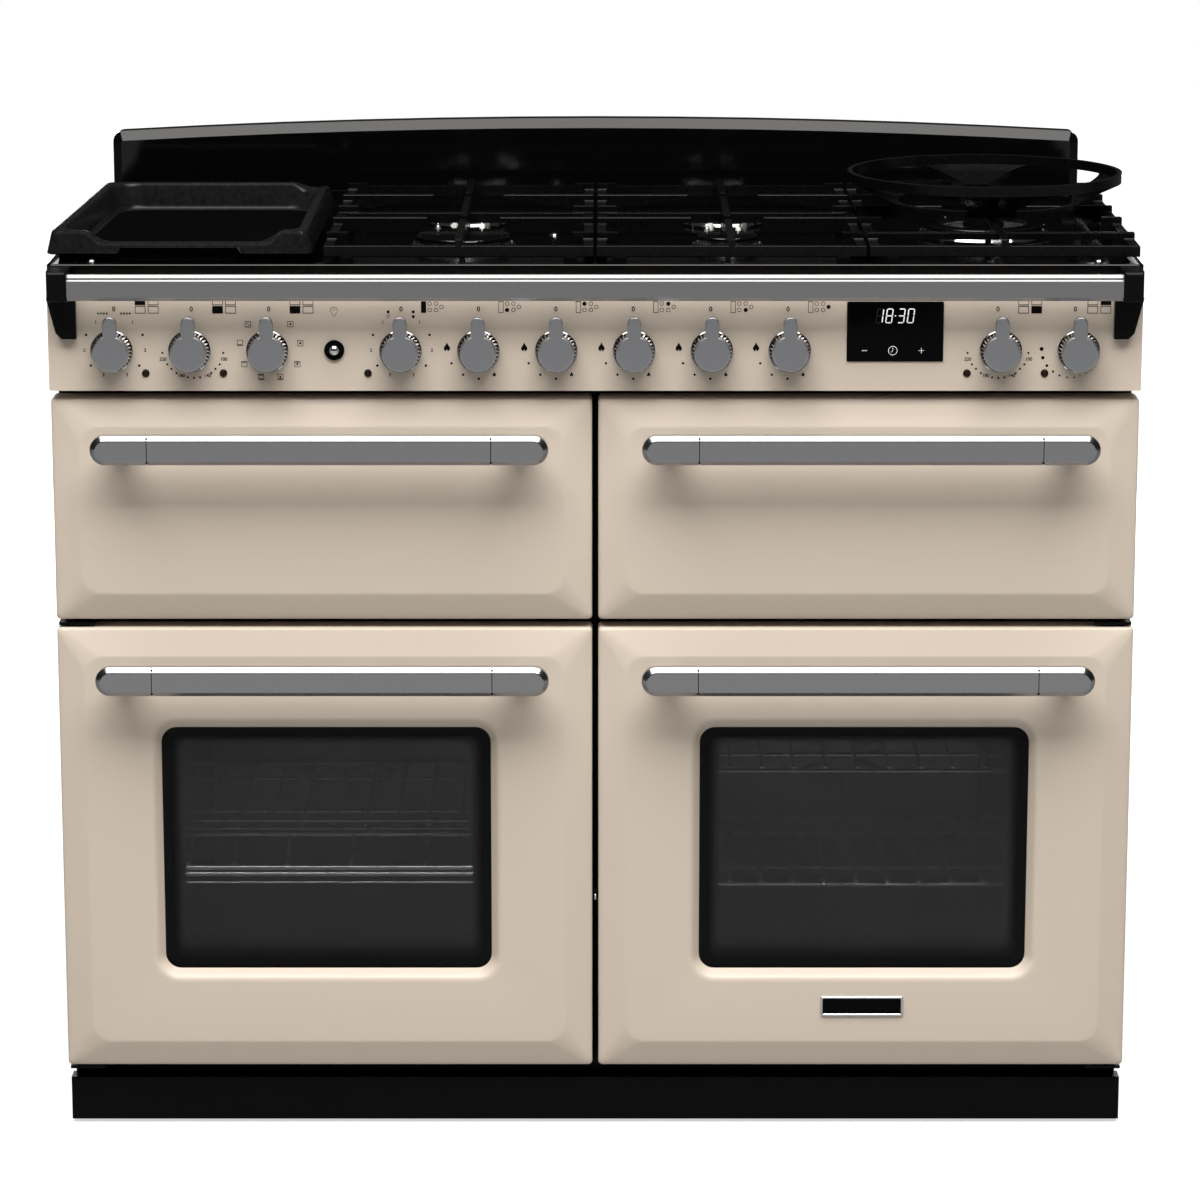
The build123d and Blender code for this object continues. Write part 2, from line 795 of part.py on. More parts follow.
pocket_front = bevel_drop + sheet
for side, name in sides:
    x = side * column_x
    middle = (x, door_bottom + door_height / 2)
    pin_x = side * hinge_x
    with BuildPart() as door_panel:
        add(pressed_front(x, door_bottom, door_height))
        with BuildSketch(front_plane(0)):
            with Locations(middle):
                RectangleRounded(
                    window_width + 2 * window_lip,
                    window_height + 2 * window_lip,
                    window_corner + window_lip,
                )
        with BuildSketch(front_plane(bevel_drop)):
            with Locations(middle):
                RectangleRounded(window_width, window_height, window_corner)
        loft(ruled=True, mode=Mode.SUBTRACT)
        with BuildSketch(front_plane(bevel_drop)):
            with Locations(middle):
                RectangleRounded(window_width, window_height, window_corner)
        extrude(amount=-sheet, mode=Mode.SUBTRACT)
        x0, x1 = sorted((side * (half_width - sheet), pin_x - side * hinge_boss))
        boss_rear = door_depth - sheet
        boss = hinge_pin_length + sheet
        block(x0, x1, pocket_front, boss_rear, door_top - boss, door_top - sheet)
        block(x0, x1, pocket_front, boss_rear, door_bottom + sheet, door_bottom + boss)
        bore = hinge_pin_radius + running
        bore_length = hinge_pin_length + slip
        post(pin_x, hinge_depth, door_top - bore_length, door_top, bore, Mode.SUBTRACT)
        post(pin_x, hinge_depth, door_bottom, door_bottom + bore_length, bore, Mode.SUBTRACT)
    door_panel.part.label = f"{name}_door_panel"
    export_step(door_panel.part, f"parts/{name}_door_panel.step")

    inner_width = window_width - 2 * inner_window_margin
    inner_height = window_height - 2 * inner_window_margin
    with BuildPart() as door_liner:
        add(rear_liner(x, door_bottom, door_height))
        with BuildSketch(front_plane(door_depth)):
            with Locations(middle):
                RectangleRounded(inner_width, inner_height, window_corner)
        extrude(amount=sheet, mode=Mode.SUBTRACT)
    door_liner.part.label = f"{name}_door_liner"
    export_step(door_liner.part, f"parts/{name}_door_liner.step")

    with BuildPart() as door_glass:
        with BuildSketch(front_plane(pocket_front)):
            with Locations(middle):
                Rectangle(window_width + 2 * glass_overlap, window_height + 2 * glass_overlap)
        extrude(amount=-glass_thickness)
        with BuildSketch(front_plane(door_depth - sheet)):
            with Locations(middle):
                Rectangle(inner_width + 2 * glass_overlap, inner_height + 2 * glass_overlap)
        extrude(amount=glass_thickness)
    door_glass.part.label = f"{name}_door_glass"
    export_step(door_glass.part, f"parts/{name}_door_glass.step")

    door_handle = handle(x, door_top)
    door_handle.label = f"{name}_door_handle"
    export_step(door_handle, f"parts/{name}_door_handle.step")

# Wire rack carried on the inside of the left door
with BuildPart() as left_door_rack:
    rack_z = door_bottom + rack_rise
    rack_half = rack_width / 2
    rack_x = -column_x
    rack_rear = door_depth + rack_depth
    rack_front = door_depth + 2 * wire_radius
    rail_z = rack_z + ladder_pitch / 2
    foot_z = rack_z - ladder_pitch / 2
    for depth, z in ((rack_front, rack_z), (rack_rear, rack_z), (rack_rear, rail_z), (rack_front, foot_z)):
        bar(rack_x - rack_half, rack_x + rack_half, depth, z, wire_radius)
    rod_span = rack_half - 2 * wire_radius
    for place in range(rack_rods):
        rod_x = rack_x + (2 * place / (rack_rods - 1) - 1) * rod_span
        rod(rod_x, rack_z, rack_front, rack_rear, thin_wire)
    for end in (-1, 1):
        post_x = rack_x + end * (rod_span - 4 * wire_radius)
        post(post_x, rack_rear, rack_z, rail_z, thin_wire)
        post(post_x, rack_front, foot_z, rack_z, thin_wire)
        pad_x = rack_x + end * (rod_span - 8 * wire_radius)
        rod(pad_x, rack_z, door_depth, rack_front, thin_wire)
        rod(pad_x, foot_z, door_depth, rack_front, thin_wire)
left_door_rack.part.label = "left_door_rack"
export_step(left_door_rack.part, "parts/left_door_rack.step")

# Pull-out grill at the left and slow-cook drawer at the right
for side, name in ((-1, "grill"), (1, "slow_cook")):
    x = side * column_x
    outer_panel = pressed_front(x, drawer_bottom, drawer_height)
    drawer_front = Compound([outer_panel, rear_liner(x, drawer_bottom, drawer_height)])
    drawer_front.label = f"{name}_front"
    export_step(drawer_front, f"parts/{name}_front.step")
    drawer_handle = handle(x, drawer_top)
    drawer_handle.label = f"{name}_handle"
    export_step(drawer_handle, f"parts/{name}_handle.step")

tray_half = oven_width / 2 - runner_width - runner_gap
slider_half = runner_height / 2 - sheet - slip
slider_start = runner_start + sheet
slider_end = slider_start + runner_length - 4 * sheet


def sliders(x):
    """The two bars of a pull-out compartment that run inside the fixed runners."""
    for wall in (-1, 1):
        outer = x + wall * (oven_width / 2 - sheet - slip)
        x0, x1 = sorted((outer, x + wall * tray_half))
        block(x0, x1, slider_start, slider_end, runner_z - slider_half, runner_z + slider_half)


with BuildPart() as slow_cook_drawer:
    tray_bottom = chamber_floor + tray_rise
    tray_top = tray_bottom + tray_height
    tray_end = door_depth + tray_depth
    block(column_x - tray_half, column_x + tray_half, door_depth, tray_end, tray_bottom, tray_top)
    inside = tray_half - sheet
    block(
        column_x - inside,
        column_x + inside,
        door_depth + sheet,
        tray_end - sheet,
        tray_bottom + sheet,
        tray_top,
        Mode.SUBTRACT,
    )
    sliders(column_x)
slow_cook_drawer.part.label = "slow_cook_drawer"
export_step(slow_cook_drawer.part, "parts/slow_cook_drawer.step")

carriage_bottom = runner_z - slider_half
carriage_top = runner_z + slider_half
with BuildPart() as carriage:
    x = -column_x
    sliders(x)
    for wall in (-1, 1):
        x0, x1 = sorted((x + wall * tray_half, x + wall * (tray_half - sheet)))
        block(x0, x1, door_depth, slider_end, carriage_bottom, carriage_top)
        x0, x1 = sorted((x + wall * tray_half, x + wall * (tray_half - carriage_ledge)))
        block(x0, x1, door_depth, slider_end, carriage_bottom, carriage_bottom + sheet)
    block(x - tray_half, x + tray_half, door_depth, door_depth + sheet, carriage_bottom, carriage_top)
    block(x - tray_half, x + tray_half, slider_end - sheet, slider_end, carriage_bottom, carriage_top)

pan_half = tray_half - sheet - slip
pan_front = door_depth + sheet + slip
pan_rim_z = carriage_bottom + sheet
pan_floor = pan_rim_z + sheet - pan_depth
with BuildPart() as grill_pan:
    well_half = tray_half - carriage_ledge - slip
    well_front = pan_front + pan_rim
    well_rear = pan_front + pan_length - pan_rim
    block(x - pan_half, x + pan_half, pan_front, pan_front + pan_length, pan_rim_z, pan_rim_z + sheet)
    block(x - well_half, x + well_half, well_front, well_rear, pan_floor, pan_rim_z)
    block(
        x - well_half + sheet,
        x + well_half - sheet,
        well_front + sheet,
        well_rear - sheet,
        pan_floor + sheet,
        pan_rim_z + sheet,
        Mode.SUBTRACT,
    )

with BuildPart() as trivet:
    trivet_z = pan_rim_z
    trivet_half = well_half - 2 * sheet
    trivet_front = well_front + 3 * sheet
    trivet_rear = well_rear - 3 * sheet
    rod_span = trivet_half - 2 * wire_radius
    for depth in (trivet_front, trivet_rear):
        bar(x - trivet_half, x + trivet_half, depth, trivet_z, wire_radius)
        for end in (-1, 1):
            post(x + end * (rod_span - 4 * wire_radius), depth, pan_floor + sheet, trivet_z, thin_wire)
    for place in range(trivet_bars):
        bar_x = x + (2 * place / (trivet_bars - 1) - 1) * rod_span
        rod(bar_x, trivet_z + wire_radius, trivet_front, trivet_rear, thin_wire)
grill_carriage = Compound([carriage.part, grill_pan.part, trivet.part])
grill_carriage.label = "grill_carriage"
export_step(grill_carriage, "parts/grill_carriage.step")

# Control positions along the fascia
left_controls = [-half_width + knob_edge + place * knob_pitch for place in range(3)]
middle_controls = [(place - 2.5) * knob_pitch for place in range(6)]
right_controls = [half_width - knob_edge - place * knob_pitch for place in (1, 0)]
gas_controls = middle_controls[1:]
electric_controls = left_controls + middle_controls[:1] + right_controls
button_x = (left_controls[2] + middle_controls[0]) / 2
button_z = knob_z + slip
display_x = (middle_controls[5] + right_controls[0]) / 2
display_z = fascia_bottom + display_rise
lens_places = [
    (left_controls[0] + lens_reach, knob_z - lens_drop),
    (left_controls[1] + lens_reach, knob_z - lens_drop),
    (middle_controls[0] - lens_reach, knob_z - lens_drop),
    (right_controls[0] - lens_reach, knob_z - lens_drop),
    (right_controls[1] - lens_reach, knob_z - lens_drop),
]
bezel_bore = button_radius + 2 * running

with BuildPart() as control_fascia:
    block(-half_width, half_width, 0, frame_front, fascia_bottom, fascia_top)
    block(
        -half_width + sheet,
        half_width - sheet,
        sheet,
        frame_front,
        fascia_bottom + sheet,
        fascia_top - sheet,
        Mode.SUBTRACT,
    )
    for x in electric_controls + gas_controls:
        rod(x, knob_z, 0, sheet, spindle_hole, Mode.SUBTRACT)
    for x, z in lens_places:
        rod(x, z, 0, sheet, lens_radius, Mode.SUBTRACT)
    rod(button_x, button_z, 0, sheet, bezel_bore + sheet, Mode.SUBTRACT)
    half_cut = display_width / 2 - sheet
    cut_height = display_height / 2 - sheet
    block(
        display_x - half_cut,
        display_x + half_cut,
        0,
        sheet,
        display_z - cut_height,
        display_z + cut_height,
        Mode.SUBTRACT,
    )
    fillet(control_fascia.edges().filter_by(Axis.Y).group_by(Axis.X)[0], sheet)
    fillet(control_fascia.edges().filter_by(Axis.Y).group_by(Axis.X)[-1], sheet)
control_fascia.part.label = "control_fascia"
export_step(control_fascia.part, "parts/control_fascia.step")

with BuildPart() as fascia_fittings:
    for x, z in lens_places:
        rod(x, z, -sheet / 2, 0, lens_head_radius)
        rod(x, z, 0, 4 * sheet, lens_radius - running)
    rod(button_x, button_z, -bezel_proud, 0, bezel_radius)
    rod(button_x, button_z, 0, sheet, bezel_bore + sheet - running)
    rod(button_x, button_z, -bezel_proud, sheet, bezel_bore, Mode.SUBTRACT)
    half_face = display_width / 2
    face_height = display_height / 2
    block(
        display_x - half_face,
        display_x + half_face,
        -display_face,
        0,
        display_z - face_height,
        display_z + face_height,
    )
    half_box = half_cut - running
    box_height = cut_height - running
    block(
        display_x - half_box,
        display_x + half_box,
        0,
        display_housing,
        display_z - box_height,
        display_z + box_height,
    )
fascia_fittings.part.label = "fascia_fittings"
export_step(fascia_fittings.part, "parts/fascia_fittings.step")

with BuildPart() as control_switches:
    half_switch = switch_size / 2
    for x in electric_controls:
        block(
            x - half_switch,
            x + half_switch,
            sheet,
            sheet + switch_depth,
            knob_z - half_switch,
            knob_z + half_switch,
        )
        rod(x, knob_z, -spindle_tip, sheet, spindle_radius)
    switch_rear = sheet + button_proud + 2 * button_travel + sheet
    housing = bezel_radius
    block(
        button_x - housing,
        button_x + housing,
        sheet,
        switch_rear,
        button_z - housing,
        button_z + housing,
    )
    rod(button_x, button_z, sheet, switch_rear - sheet, bezel_bore, Mode.SUBTRACT)
control_switches.part.label = "control_switches"
export_step(control_switches.part, "parts/control_switches.step")

with BuildPart() as light_button:
    button_rear = switch_rear - sheet - button_travel - slip
    rod(button_x, button_z, -button_proud, button_rear, button_radius)
    fillet(light_button.edges().group_by(Axis.Y)[0], button_radius - sheet)
light_button.part.label = "light_button"
export_step(light_button.part, "parts/light_button.step")

knob_names = (
    "knob_grill",
    "knob_left_oven",
    "knob_function",
    "knob_griddle",
    "knob_right_oven",
    "knob_slow_cook",
)
gas_names = ("front_left", "rear_left", "rear_centre", "front_centre", "wok")
knobs = list(zip(knob_names, electric_controls))
knobs += [(f"knob_{name}", x) for name, x in zip(gas_names, gas_controls)]
for name, x in knobs:
    with BuildPart() as knob:
        with BuildSketch(front_plane(-knob_gap)):
            with Locations((x, knob_z)):
                Circle(knob_radius)
        with BuildSketch(front_plane(-knob_front)):
            with Locations((x, knob_z)):
                Circle(knob_face_radius)
        loft()
        with BuildSketch(front_plane(-knob_front)):
            tip = pointer_reach - pointer_width / 2
            with Locations((x, knob_z + tip / 2)):
                Rectangle(pointer_width, tip)
            with Locations((x, knob_z + tip)):
                Circle(pointer_width / 2)
        extrude(amount=-pointer_thickness)
        bore = spindle_radius + running
        rod(x, knob_z, -knob_gap - spindle_seat, -knob_gap, bore, Mode.SUBTRACT)
    knob.part.label = name
    export_step(knob.part, f"parts/{name}.step")

# Gas supply: square manifold with inlet pipe, taps, push spindles and burner feeds
rail_bottom = fascia_bottom + rail_rise
rail_top = rail_bottom + rail_size
rail_middle = rail_depth + rail_size / 2
tap_rear = tap_front + tap_depth
tap_bore_end = tap_front + spindle_seat + slip
rail_start = gas_controls[0] - tap_width
rail_end = gas_controls[-1] + tap_width
with BuildPart() as manifold:
    block(rail_start, rail_end, rail_depth, rail_depth + rail_size, rail_bottom, rail_top)
    block(
        rail_start + sheet,
        rail_end - sheet,
        rail_depth + sheet,
        rail_depth + rail_size - sheet,
        rail_bottom + sheet,
        rail_top - sheet,
        Mode.SUBTRACT,
    )
    inlet_route = [
        (rail_end, rail_middle, gas_z),
        (gas_x, rail_middle, gas_z),
        (gas_x, body_depth - inlet_length, gas_z),
    ]
    add(bent_tube(inlet_route, pipe_bend, pipe_radius))
    rod(gas_x, gas_z, body_depth - 2 * inlet_length, body_depth, inlet_radius)
    rod(gas_x, gas_z, body_depth - inlet_length, body_depth, inlet_bore, Mode.SUBTRACT)

burner_places = (
    (-hob_pitch / 2, burner_front, cap_front_left),
    (-hob_pitch / 2, burner_rear, cap_rear_left),
    (hob_pitch / 2, burner_rear, cap_rear_centre),
    (hob_pitch / 2, burner_front, cap_front_centre),
    (1.5 * hob_pitch, burner_middle, cap_wok),
)
burner_base = hob_floor - burner_drop
feed_z = knob_z
gas_pieces = [manifold.part]
for x, (burner_x, burner_depth, cap) in zip(gas_controls, burner_places):
    half_tap = tap_width / 2
    with BuildPart() as tap:
        block(x - half_tap, x + half_tap, tap_front, tap_rear, rail_top, knob_z + half_tap)
        bore = spindle_radius + running
        rod(x, knob_z, tap_front, tap_bore_end, bore, Mode.SUBTRACT)
    gas_pieces.append(tap.part)
    turn = tap_rear + rail_size
    feed_route = [
        (x, tap_rear, feed_z),
        (x, turn, feed_z),
        (burner_x, burner_depth - 2 * feed_bend, feed_z),
        (burner_x, burner_depth, feed_z),
        (burner_x, burner_depth, burner_base),
    ]
    gas_pieces.append(bent_tube(feed_route, feed_bend, feed_radius))
gas_supply = Compound(gas_pieces)
gas_supply.label = "gas_supply"
export_step(gas_supply, "parts/gas_supply.step")

for name, x in zip(gas_names, gas_controls):
    with BuildPart() as spindle:
        rod(x, knob_z, -gas_spindle_tip, tap_front + spindle_seat, spindle_radius)
    spindle.part.label = f"spindle_{name}"
    export_step(spindle.part, f"parts/spindle_{name}.step")

# Mains terminal box with its cable gland, on the back panel
with BuildPart() as terminal_box:
    box_front = back_front + sheet
    box_bottom = terminal_rise
    half_terminal = terminal_width / 2
    block(-half_terminal, half_terminal, box_front, box_front + terminal_depth, box_bottom,
          box_bottom + terminal_height)
    block(
        -half_terminal + sheet,
        half_terminal - sheet,
        box_front,
        box_front + terminal_depth - sheet,
        box_bottom + sheet,
        box_bottom + terminal_height - sheet,
        Mode.SUBTRACT,
    )
    gland_depth = box_front + terminal_depth / 2
    post(0, gland_depth, box_bottom - gland_length, box_bottom, gland_radius)
    post(0, gland_depth, box_bottom - gland_length, box_bottom + sheet, gland_bore, Mode.SUBTRACT)
terminal_box.part.label = "terminal_box"
export_step(terminal_box.part, "parts/terminal_box.step")

# Hob tray with a shallow well, and the arched upstand behind it
hob_rear = body_depth - upstand_depth
with BuildPart() as hob_tray:
    block(-half_width, half_width, 0, hob_rear, fascia_top, hob_top)
    fillet(hob_tray.edges().filter_by(Axis.Z).group_by(Axis.Y)[0], tray_corner)
    block(
        -half_width + rim_width,
        half_width - rim_width,
        rim_width,
        hob_rear - rim_width,
        hob_floor,
        hob_top,
        Mode.SUBTRACT,
    )
    for x, depth, cap in burner_places:
        post(x, depth, fascia_top, hob_floor, burner_neck + sheet, Mode.SUBTRACT)
    fillet(hob_tray.faces().sort_by(Axis.Z)[-1].outer_wire().edges(), sheet)
hob_tray.part.label = "hob_tray"
export_step(hob_tray.part, "parts/hob_tray.step")

upstand_half = half_width - upstand_inset
upstand_top = fascia_top + upstand_height
with BuildPart() as rear_upstand:
    with BuildSketch(front_plane(body_depth)) as arch:
        with BuildLine():
            shoulder = upstand_top - upstand_arch
            Polyline(
                (-upstand_half, shoulder),
                (-upstand_half, fascia_top),
                (upstand_half, fascia_top),
                (upstand_half, shoulder),
            )
            ThreePointArc((upstand_half, shoulder), (0, upstand_top), (-upstand_half, shoulder))
        make_face()
        fillet(arch.vertices().group_by(Axis.Y)[1], upstand_corner)
    extrude(amount=upstand_depth)
    top_edges = rear_upstand.faces().sort_by(Axis.Y)[0].edges().filter_by(GeomType.CIRCLE)
    chamfer(top_edges, upstand_bevel)
    offset(amount=-sheet, openings=rear_upstand.faces().sort_by(Axis.Z)[0])
rear_upstand.part.label = "rear_upstand"
export_step(rear_upstand.part, "parts/rear_upstand.step")

# Burner heads and caps
head_top = hob_floor + burner_skirt + burner_head
skirt_top_z = hob_floor + burner_skirt
head_pieces = []
cap_pieces = []
for x, depth, cap in burner_places:
    ports = round(2 * math.pi * cap / port_pitch)
    head_radius = cap - sheet
    with BuildPart() as head:
        post(x, depth, burner_base, hob_floor, burner_neck)
        post(x, depth, hob_floor, skirt_top_z, cap + burner_lip)
        post(x, depth, skirt_top_z, head_top, head_radius)
        with Locations((x, front_y + depth, head_top - burner_head / 4)):
            with PolarLocations(head_radius, ports):
                Box(2 * sheet, port_width, burner_head / 2, mode=Mode.SUBTRACT)
        if cap == cap_wok:
            channel = cap - wok_channel
            post(x, depth, skirt_top_z, head_top, channel, Mode.SUBTRACT)
            post(x, depth, skirt_top_z, head_top, wok_inner_cap - sheet)
    head_pieces.append(head.part)
    with BuildPart() as burner_cap_piece:
        post(x, depth, head_top, head_top + burner_cap, cap)
        fillet(burner_cap_piece.edges().group_by(Axis.Z)[-1], burner_cap / 2)
        if cap == cap_wok:
            post(x, depth, head_top, head_top + burner_cap, cap - wok_channel, Mode.SUBTRACT)
            post(x, depth, head_top, head_top + burner_cap, wok_inner_cap)
    cap_pieces.append(burner_cap_piece.part)
burner_heads = Compound(head_pieces)
burner_heads.label = "burner_heads"
export_step(burner_heads, "parts/burner_heads.step")
burner_caps = Compound(cap_pieces)
burner_caps.label = "burner_caps"
export_step(burner_caps, "parts/burner_caps.step")

# Cast pan supports: a frame on feet, with raised lugs and fingers that point at the burners
bar_bottom = hob_floor + support_lift
bar_top = bar_bottom + support_bar_height
finger_top = bar_top + finger_rise
support_rear = support_front + support_length
support_half = hob_pitch / 2 - support_gap
half_bar = support_bar / 2
half_finger = finger_width / 2
support_columns = (
    (-hob_pitch / 2, (burner_front, burner_rear), finger_gap, spine_gap),
    (hob_pitch / 2, (burner_front, burner_rear), finger_gap, spine_gap),
    (1.5 * hob_pitch, (burner_middle,), wok_finger_gap, wok_finger_gap),
)


def finger(root, tip, depth):
    """Blade of a pan support across the width, thinner towards its tip."""
    with BuildPart() as blade:
        with BuildSketch(front_plane(depth - half_finger)):
            with BuildLine():
                Polyline(
                    (root, finger_top),
                    (tip, finger_top),
                    (tip, finger_top - finger_tip),
                    (root, bar_bottom),
                    close=True,
                )
            make_face()
        extrude(amount=-finger_width)
    return blade.part


support_pieces = []
for x, burners, gap, spine in support_columns:
    left = x - support_half
    right = x + support_half
    with BuildPart() as support:
        block(left, right, support_front, support_front + support_bar, bar_bottom, bar_top)
        block(left, right, support_rear - support_bar, support_rear, bar_bottom, bar_top)
        block(left, left + support_bar, support_front, support_rear, bar_bottom, bar_top)
        block(right - support_bar, right, support_front, support_rear, bar_bottom, bar_top)
        stops = [support_front]
        if len(burners) > 1:
            block(left, right, burner_middle - half_bar, burner_middle + half_bar, bar_bottom, bar_top)
            stops += [burner_middle]
        stops += [support_rear]
        for depth in (lug_front, burner_middle, lug_rear):
            for start in (left, right - support_lug):
                end = start + support_lug
                block(start, end, depth - half_finger, depth + half_finger, bar_bottom, finger_top)
        for place, depth in enumerate(burners):
            add(finger(left, x - gap, depth))
            add(finger(right, x + gap, depth))
            block(x - half_finger, x + half_finger, stops[place], depth - spine, bar_bottom, finger_top)
            block(x - half_finger, x + half_finger, depth + spine, stops[place + 1], bar_bottom, finger_top)
        if len(burners) == 1:
            bridge_front = lug_front - half_finger
            bridge_rear = lug_front + half_finger
            block(left, right, bridge_front, bridge_rear, finger_top - wok_bridge, finger_top)
            for depth in (burner_front, burner_rear):
                for start in (left, right - support_lug):
                    end = start + support_lug
                    block(start, end, depth - half_finger, depth + half_finger, bar_bottom, finger_top)
        for foot_x in (left + support_foot_inset, right - support_foot_inset - support_foot):
            for foot_depth in (support_front, support_rear - support_foot):
                block(
                    foot_x,
                    foot_x + support_foot,
                    foot_depth,
                    foot_depth + support_foot,
                    hob_floor,
                    bar_bottom,
                )
    support_pieces.append(support.part)
pan_supports = Compound(support_pieces)
pan_supports.label = "pan_supports"
export_step(pan_supports, "parts/pan_supports.step")

# Cast griddle on its feet, with a dip in the front wall
griddle_bottom = hob_floor + griddle_foot
griddle_top = griddle_bottom + griddle_height
griddle_rear = griddle_front + griddle_length


def griddle_outline(inset):
    """Corners of the griddle in plan, with a slanted outer side, pulled in by an inset."""
    half = griddle_half - inset
    front = front_y + griddle_front + inset
    rear = front_y + griddle_rear - inset
    return [
        (griddle_x - half, front),
        (griddle_x + half, front),
        (griddle_x + half, rear),
        (griddle_x - half + griddle_taper, rear),
    ]


inner = griddle_draft + griddle_wall
outer_sections = ((griddle_bottom, 0), (griddle_top, griddle_draft))
well_sections = ((griddle_bottom + griddle_floor, inner + griddle_draft), (griddle_top, inner))
with BuildPart() as griddle:
    for sections, mode in ((outer_sections, Mode.ADD), (well_sections, Mode.SUBTRACT)):
        for z, inset in sections:
            with BuildSketch(Plane.XY.offset(z)) as outline:
                with BuildLine():
                    Polyline(*griddle_outline(inset), close=True)
                make_face()
                fillet(outline.vertices(), griddle_corner)
        loft(ruled=True, mode=mode)
    with BuildSketch(front_plane(griddle_front)):
        half_dip = griddle_dip_width / 2
        dip_x = griddle_x + griddle_dip_offset
        with BuildLine():
            Polyline(
                (dip_x - half_dip - griddle_dip_ramp, griddle_top),
                (dip_x - half_dip, griddle_top - griddle_dip),
                (dip_x + half_dip, griddle_top - griddle_dip),
                (dip_x + half_dip + griddle_dip_ramp, griddle_top),
                close=True,
            )
        make_face()
    extrude(amount=-(inner + 2 * griddle_draft), mode=Mode.SUBTRACT)
    notch_half = griddle_notch_width / 2
    block(
        griddle_x - notch_half,
        griddle_x + notch_half,
        griddle_front,
        griddle_front + griddle_wall,
        griddle_bottom,
        griddle_bottom + griddle_notch_height,
        Mode.SUBTRACT,
    )
    foot_half = griddle_half - griddle_taper - hotplate_margin / 2
    for foot_x in (griddle_x - foot_half, griddle_x + foot_half):
        for depth in (griddle_front + hotplate_margin / 2, griddle_rear - hotplate_margin / 2):
            post(foot_x, depth, hob_floor, griddle_bottom, griddle_foot_radius)
griddle.part.label = "griddle"
export_step(griddle.part, "parts/griddle.step")

# Wok ring: a cone with wide openings, standing on the right pan support
wok_x = 1.5 * hob_pitch
wok_top = finger_top + wok_height
with BuildPart() as wok_ring:
    with BuildSketch(Plane.XZ):
        base_inner = wok_base_radius - wok_base_width
        rim_inner = wok_rim_radius - wok_rim_width
        with BuildLine():
            Polyline(
                (base_inner, finger_top),
                (wok_base_radius, finger_top),
                (wok_base_radius, finger_top + wok_base_height),
                (wok_rim_radius, wok_top - wok_rim_height),
                (wok_rim_radius, wok_top),
                (rim_inner, wok_top),
                (rim_inner, wok_top - wok_rim_height),
                (base_inner, finger_top + wok_base_height + wok_wall),
                close=True,
            )
        make_face()
    revolve(axis=Axis.Z)
    window_bottom = finger_top + wok_base_height
    window_height_wok = wok_height - wok_base_height - wok_rim_height
    window_middle = window_bottom + window_height_wok / 2
    window_planes = []
    for place in range(wok_windows):
        turn = math.radians((place + 0.5) * 360 / wok_windows)
        outward = (math.cos(turn), math.sin(turn), 0)
        along = (-math.sin(turn), math.cos(turn), 0)
        window_planes.append(Plane(origin=(0, 0, window_middle), x_dir=along, z_dir=outward))
    with BuildSketch(*window_planes):
        RectangleRounded(wok_window_width, window_height_wok, wok_window_corner)
    extrude(amount=wok_rim_radius + wok_rim_width, mode=Mode.SUBTRACT)
wok_ring.part.label = "wok_ring"
wok_ring.part.position = (wok_x, front_y + burner_middle, 0)
export_step(wok_ring.part, "parts/wok_ring.step")

# Handrail between its two end brackets
rail_outer = half_width - bracket_width
handrail_top = hob_top - handrail_drop
handrail_bottom = handrail_top - handrail_height
with BuildPart() as handrail:
    with BuildSketch(Plane.YZ.offset(-rail_outer)):
        face = front_y - rail_reach
        rear = face + handrail_depth
        with BuildLine():
            Polyline(
                (rear, handrail_bottom),
                (face + handrail_bottom_bevel, handrail_bottom),
                (face, handrail_bottom + handrail_bottom_bevel),
                (face, handrail_top - handrail_top_bevel),
                (face + handrail_top_bevel, handrail_top),
                (rear, handrail_top),
                close=True,
            )
        make_face()
    extrude(amount=2 * rail_outer)
handrail.part.label = "handrail"
export_step(handrail.part, "parts/handrail.step")

with BuildPart() as handrail_brackets:
    arm_bottom = handrail_bottom - bracket_margin
    leg_bottom = arm_bottom - bracket_leg_drop
    for side, name in sides:
        outer = side * half_width
        x0, x1 = sorted((side * (half_width - bracket_inset), side * rail_outer))
        block(x0, x1, -bracket_reach, 0, arm_bottom, handrail_top + bracket_rise)
        inner = side * (half_width - bracket_leg_width)
        foot = side * (half_width - bracket_leg_taper)
        toe = side * (half_width - bracket_leg_taper - bracket_leg_chamfer)
        with BuildSketch(front_plane(0)):
            with BuildLine():
                Polyline(
                    (outer, arm_bottom),
                    (foot, leg_bottom + bracket_leg_chamfer),
                    (toe, leg_bottom),
                    (inner, leg_bottom),
                    (inner, arm_bottom),
                    close=True,
                )
            make_face()
        extrude(amount=bracket_leg_depth)
    fillet(handrail_brackets.faces().group_by(Axis.Y)[0].edges(), bracket_round)
handrail_brackets.part.label = "handrail_brackets"
export_step(handrail_brackets.part, "parts/handrail_brackets.step")
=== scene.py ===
import json
import math

import bmesh
import bpy
from bpy.props import FloatProperty, FloatVectorProperty, IntProperty, PointerProperty
from mathutils import Matrix, Vector


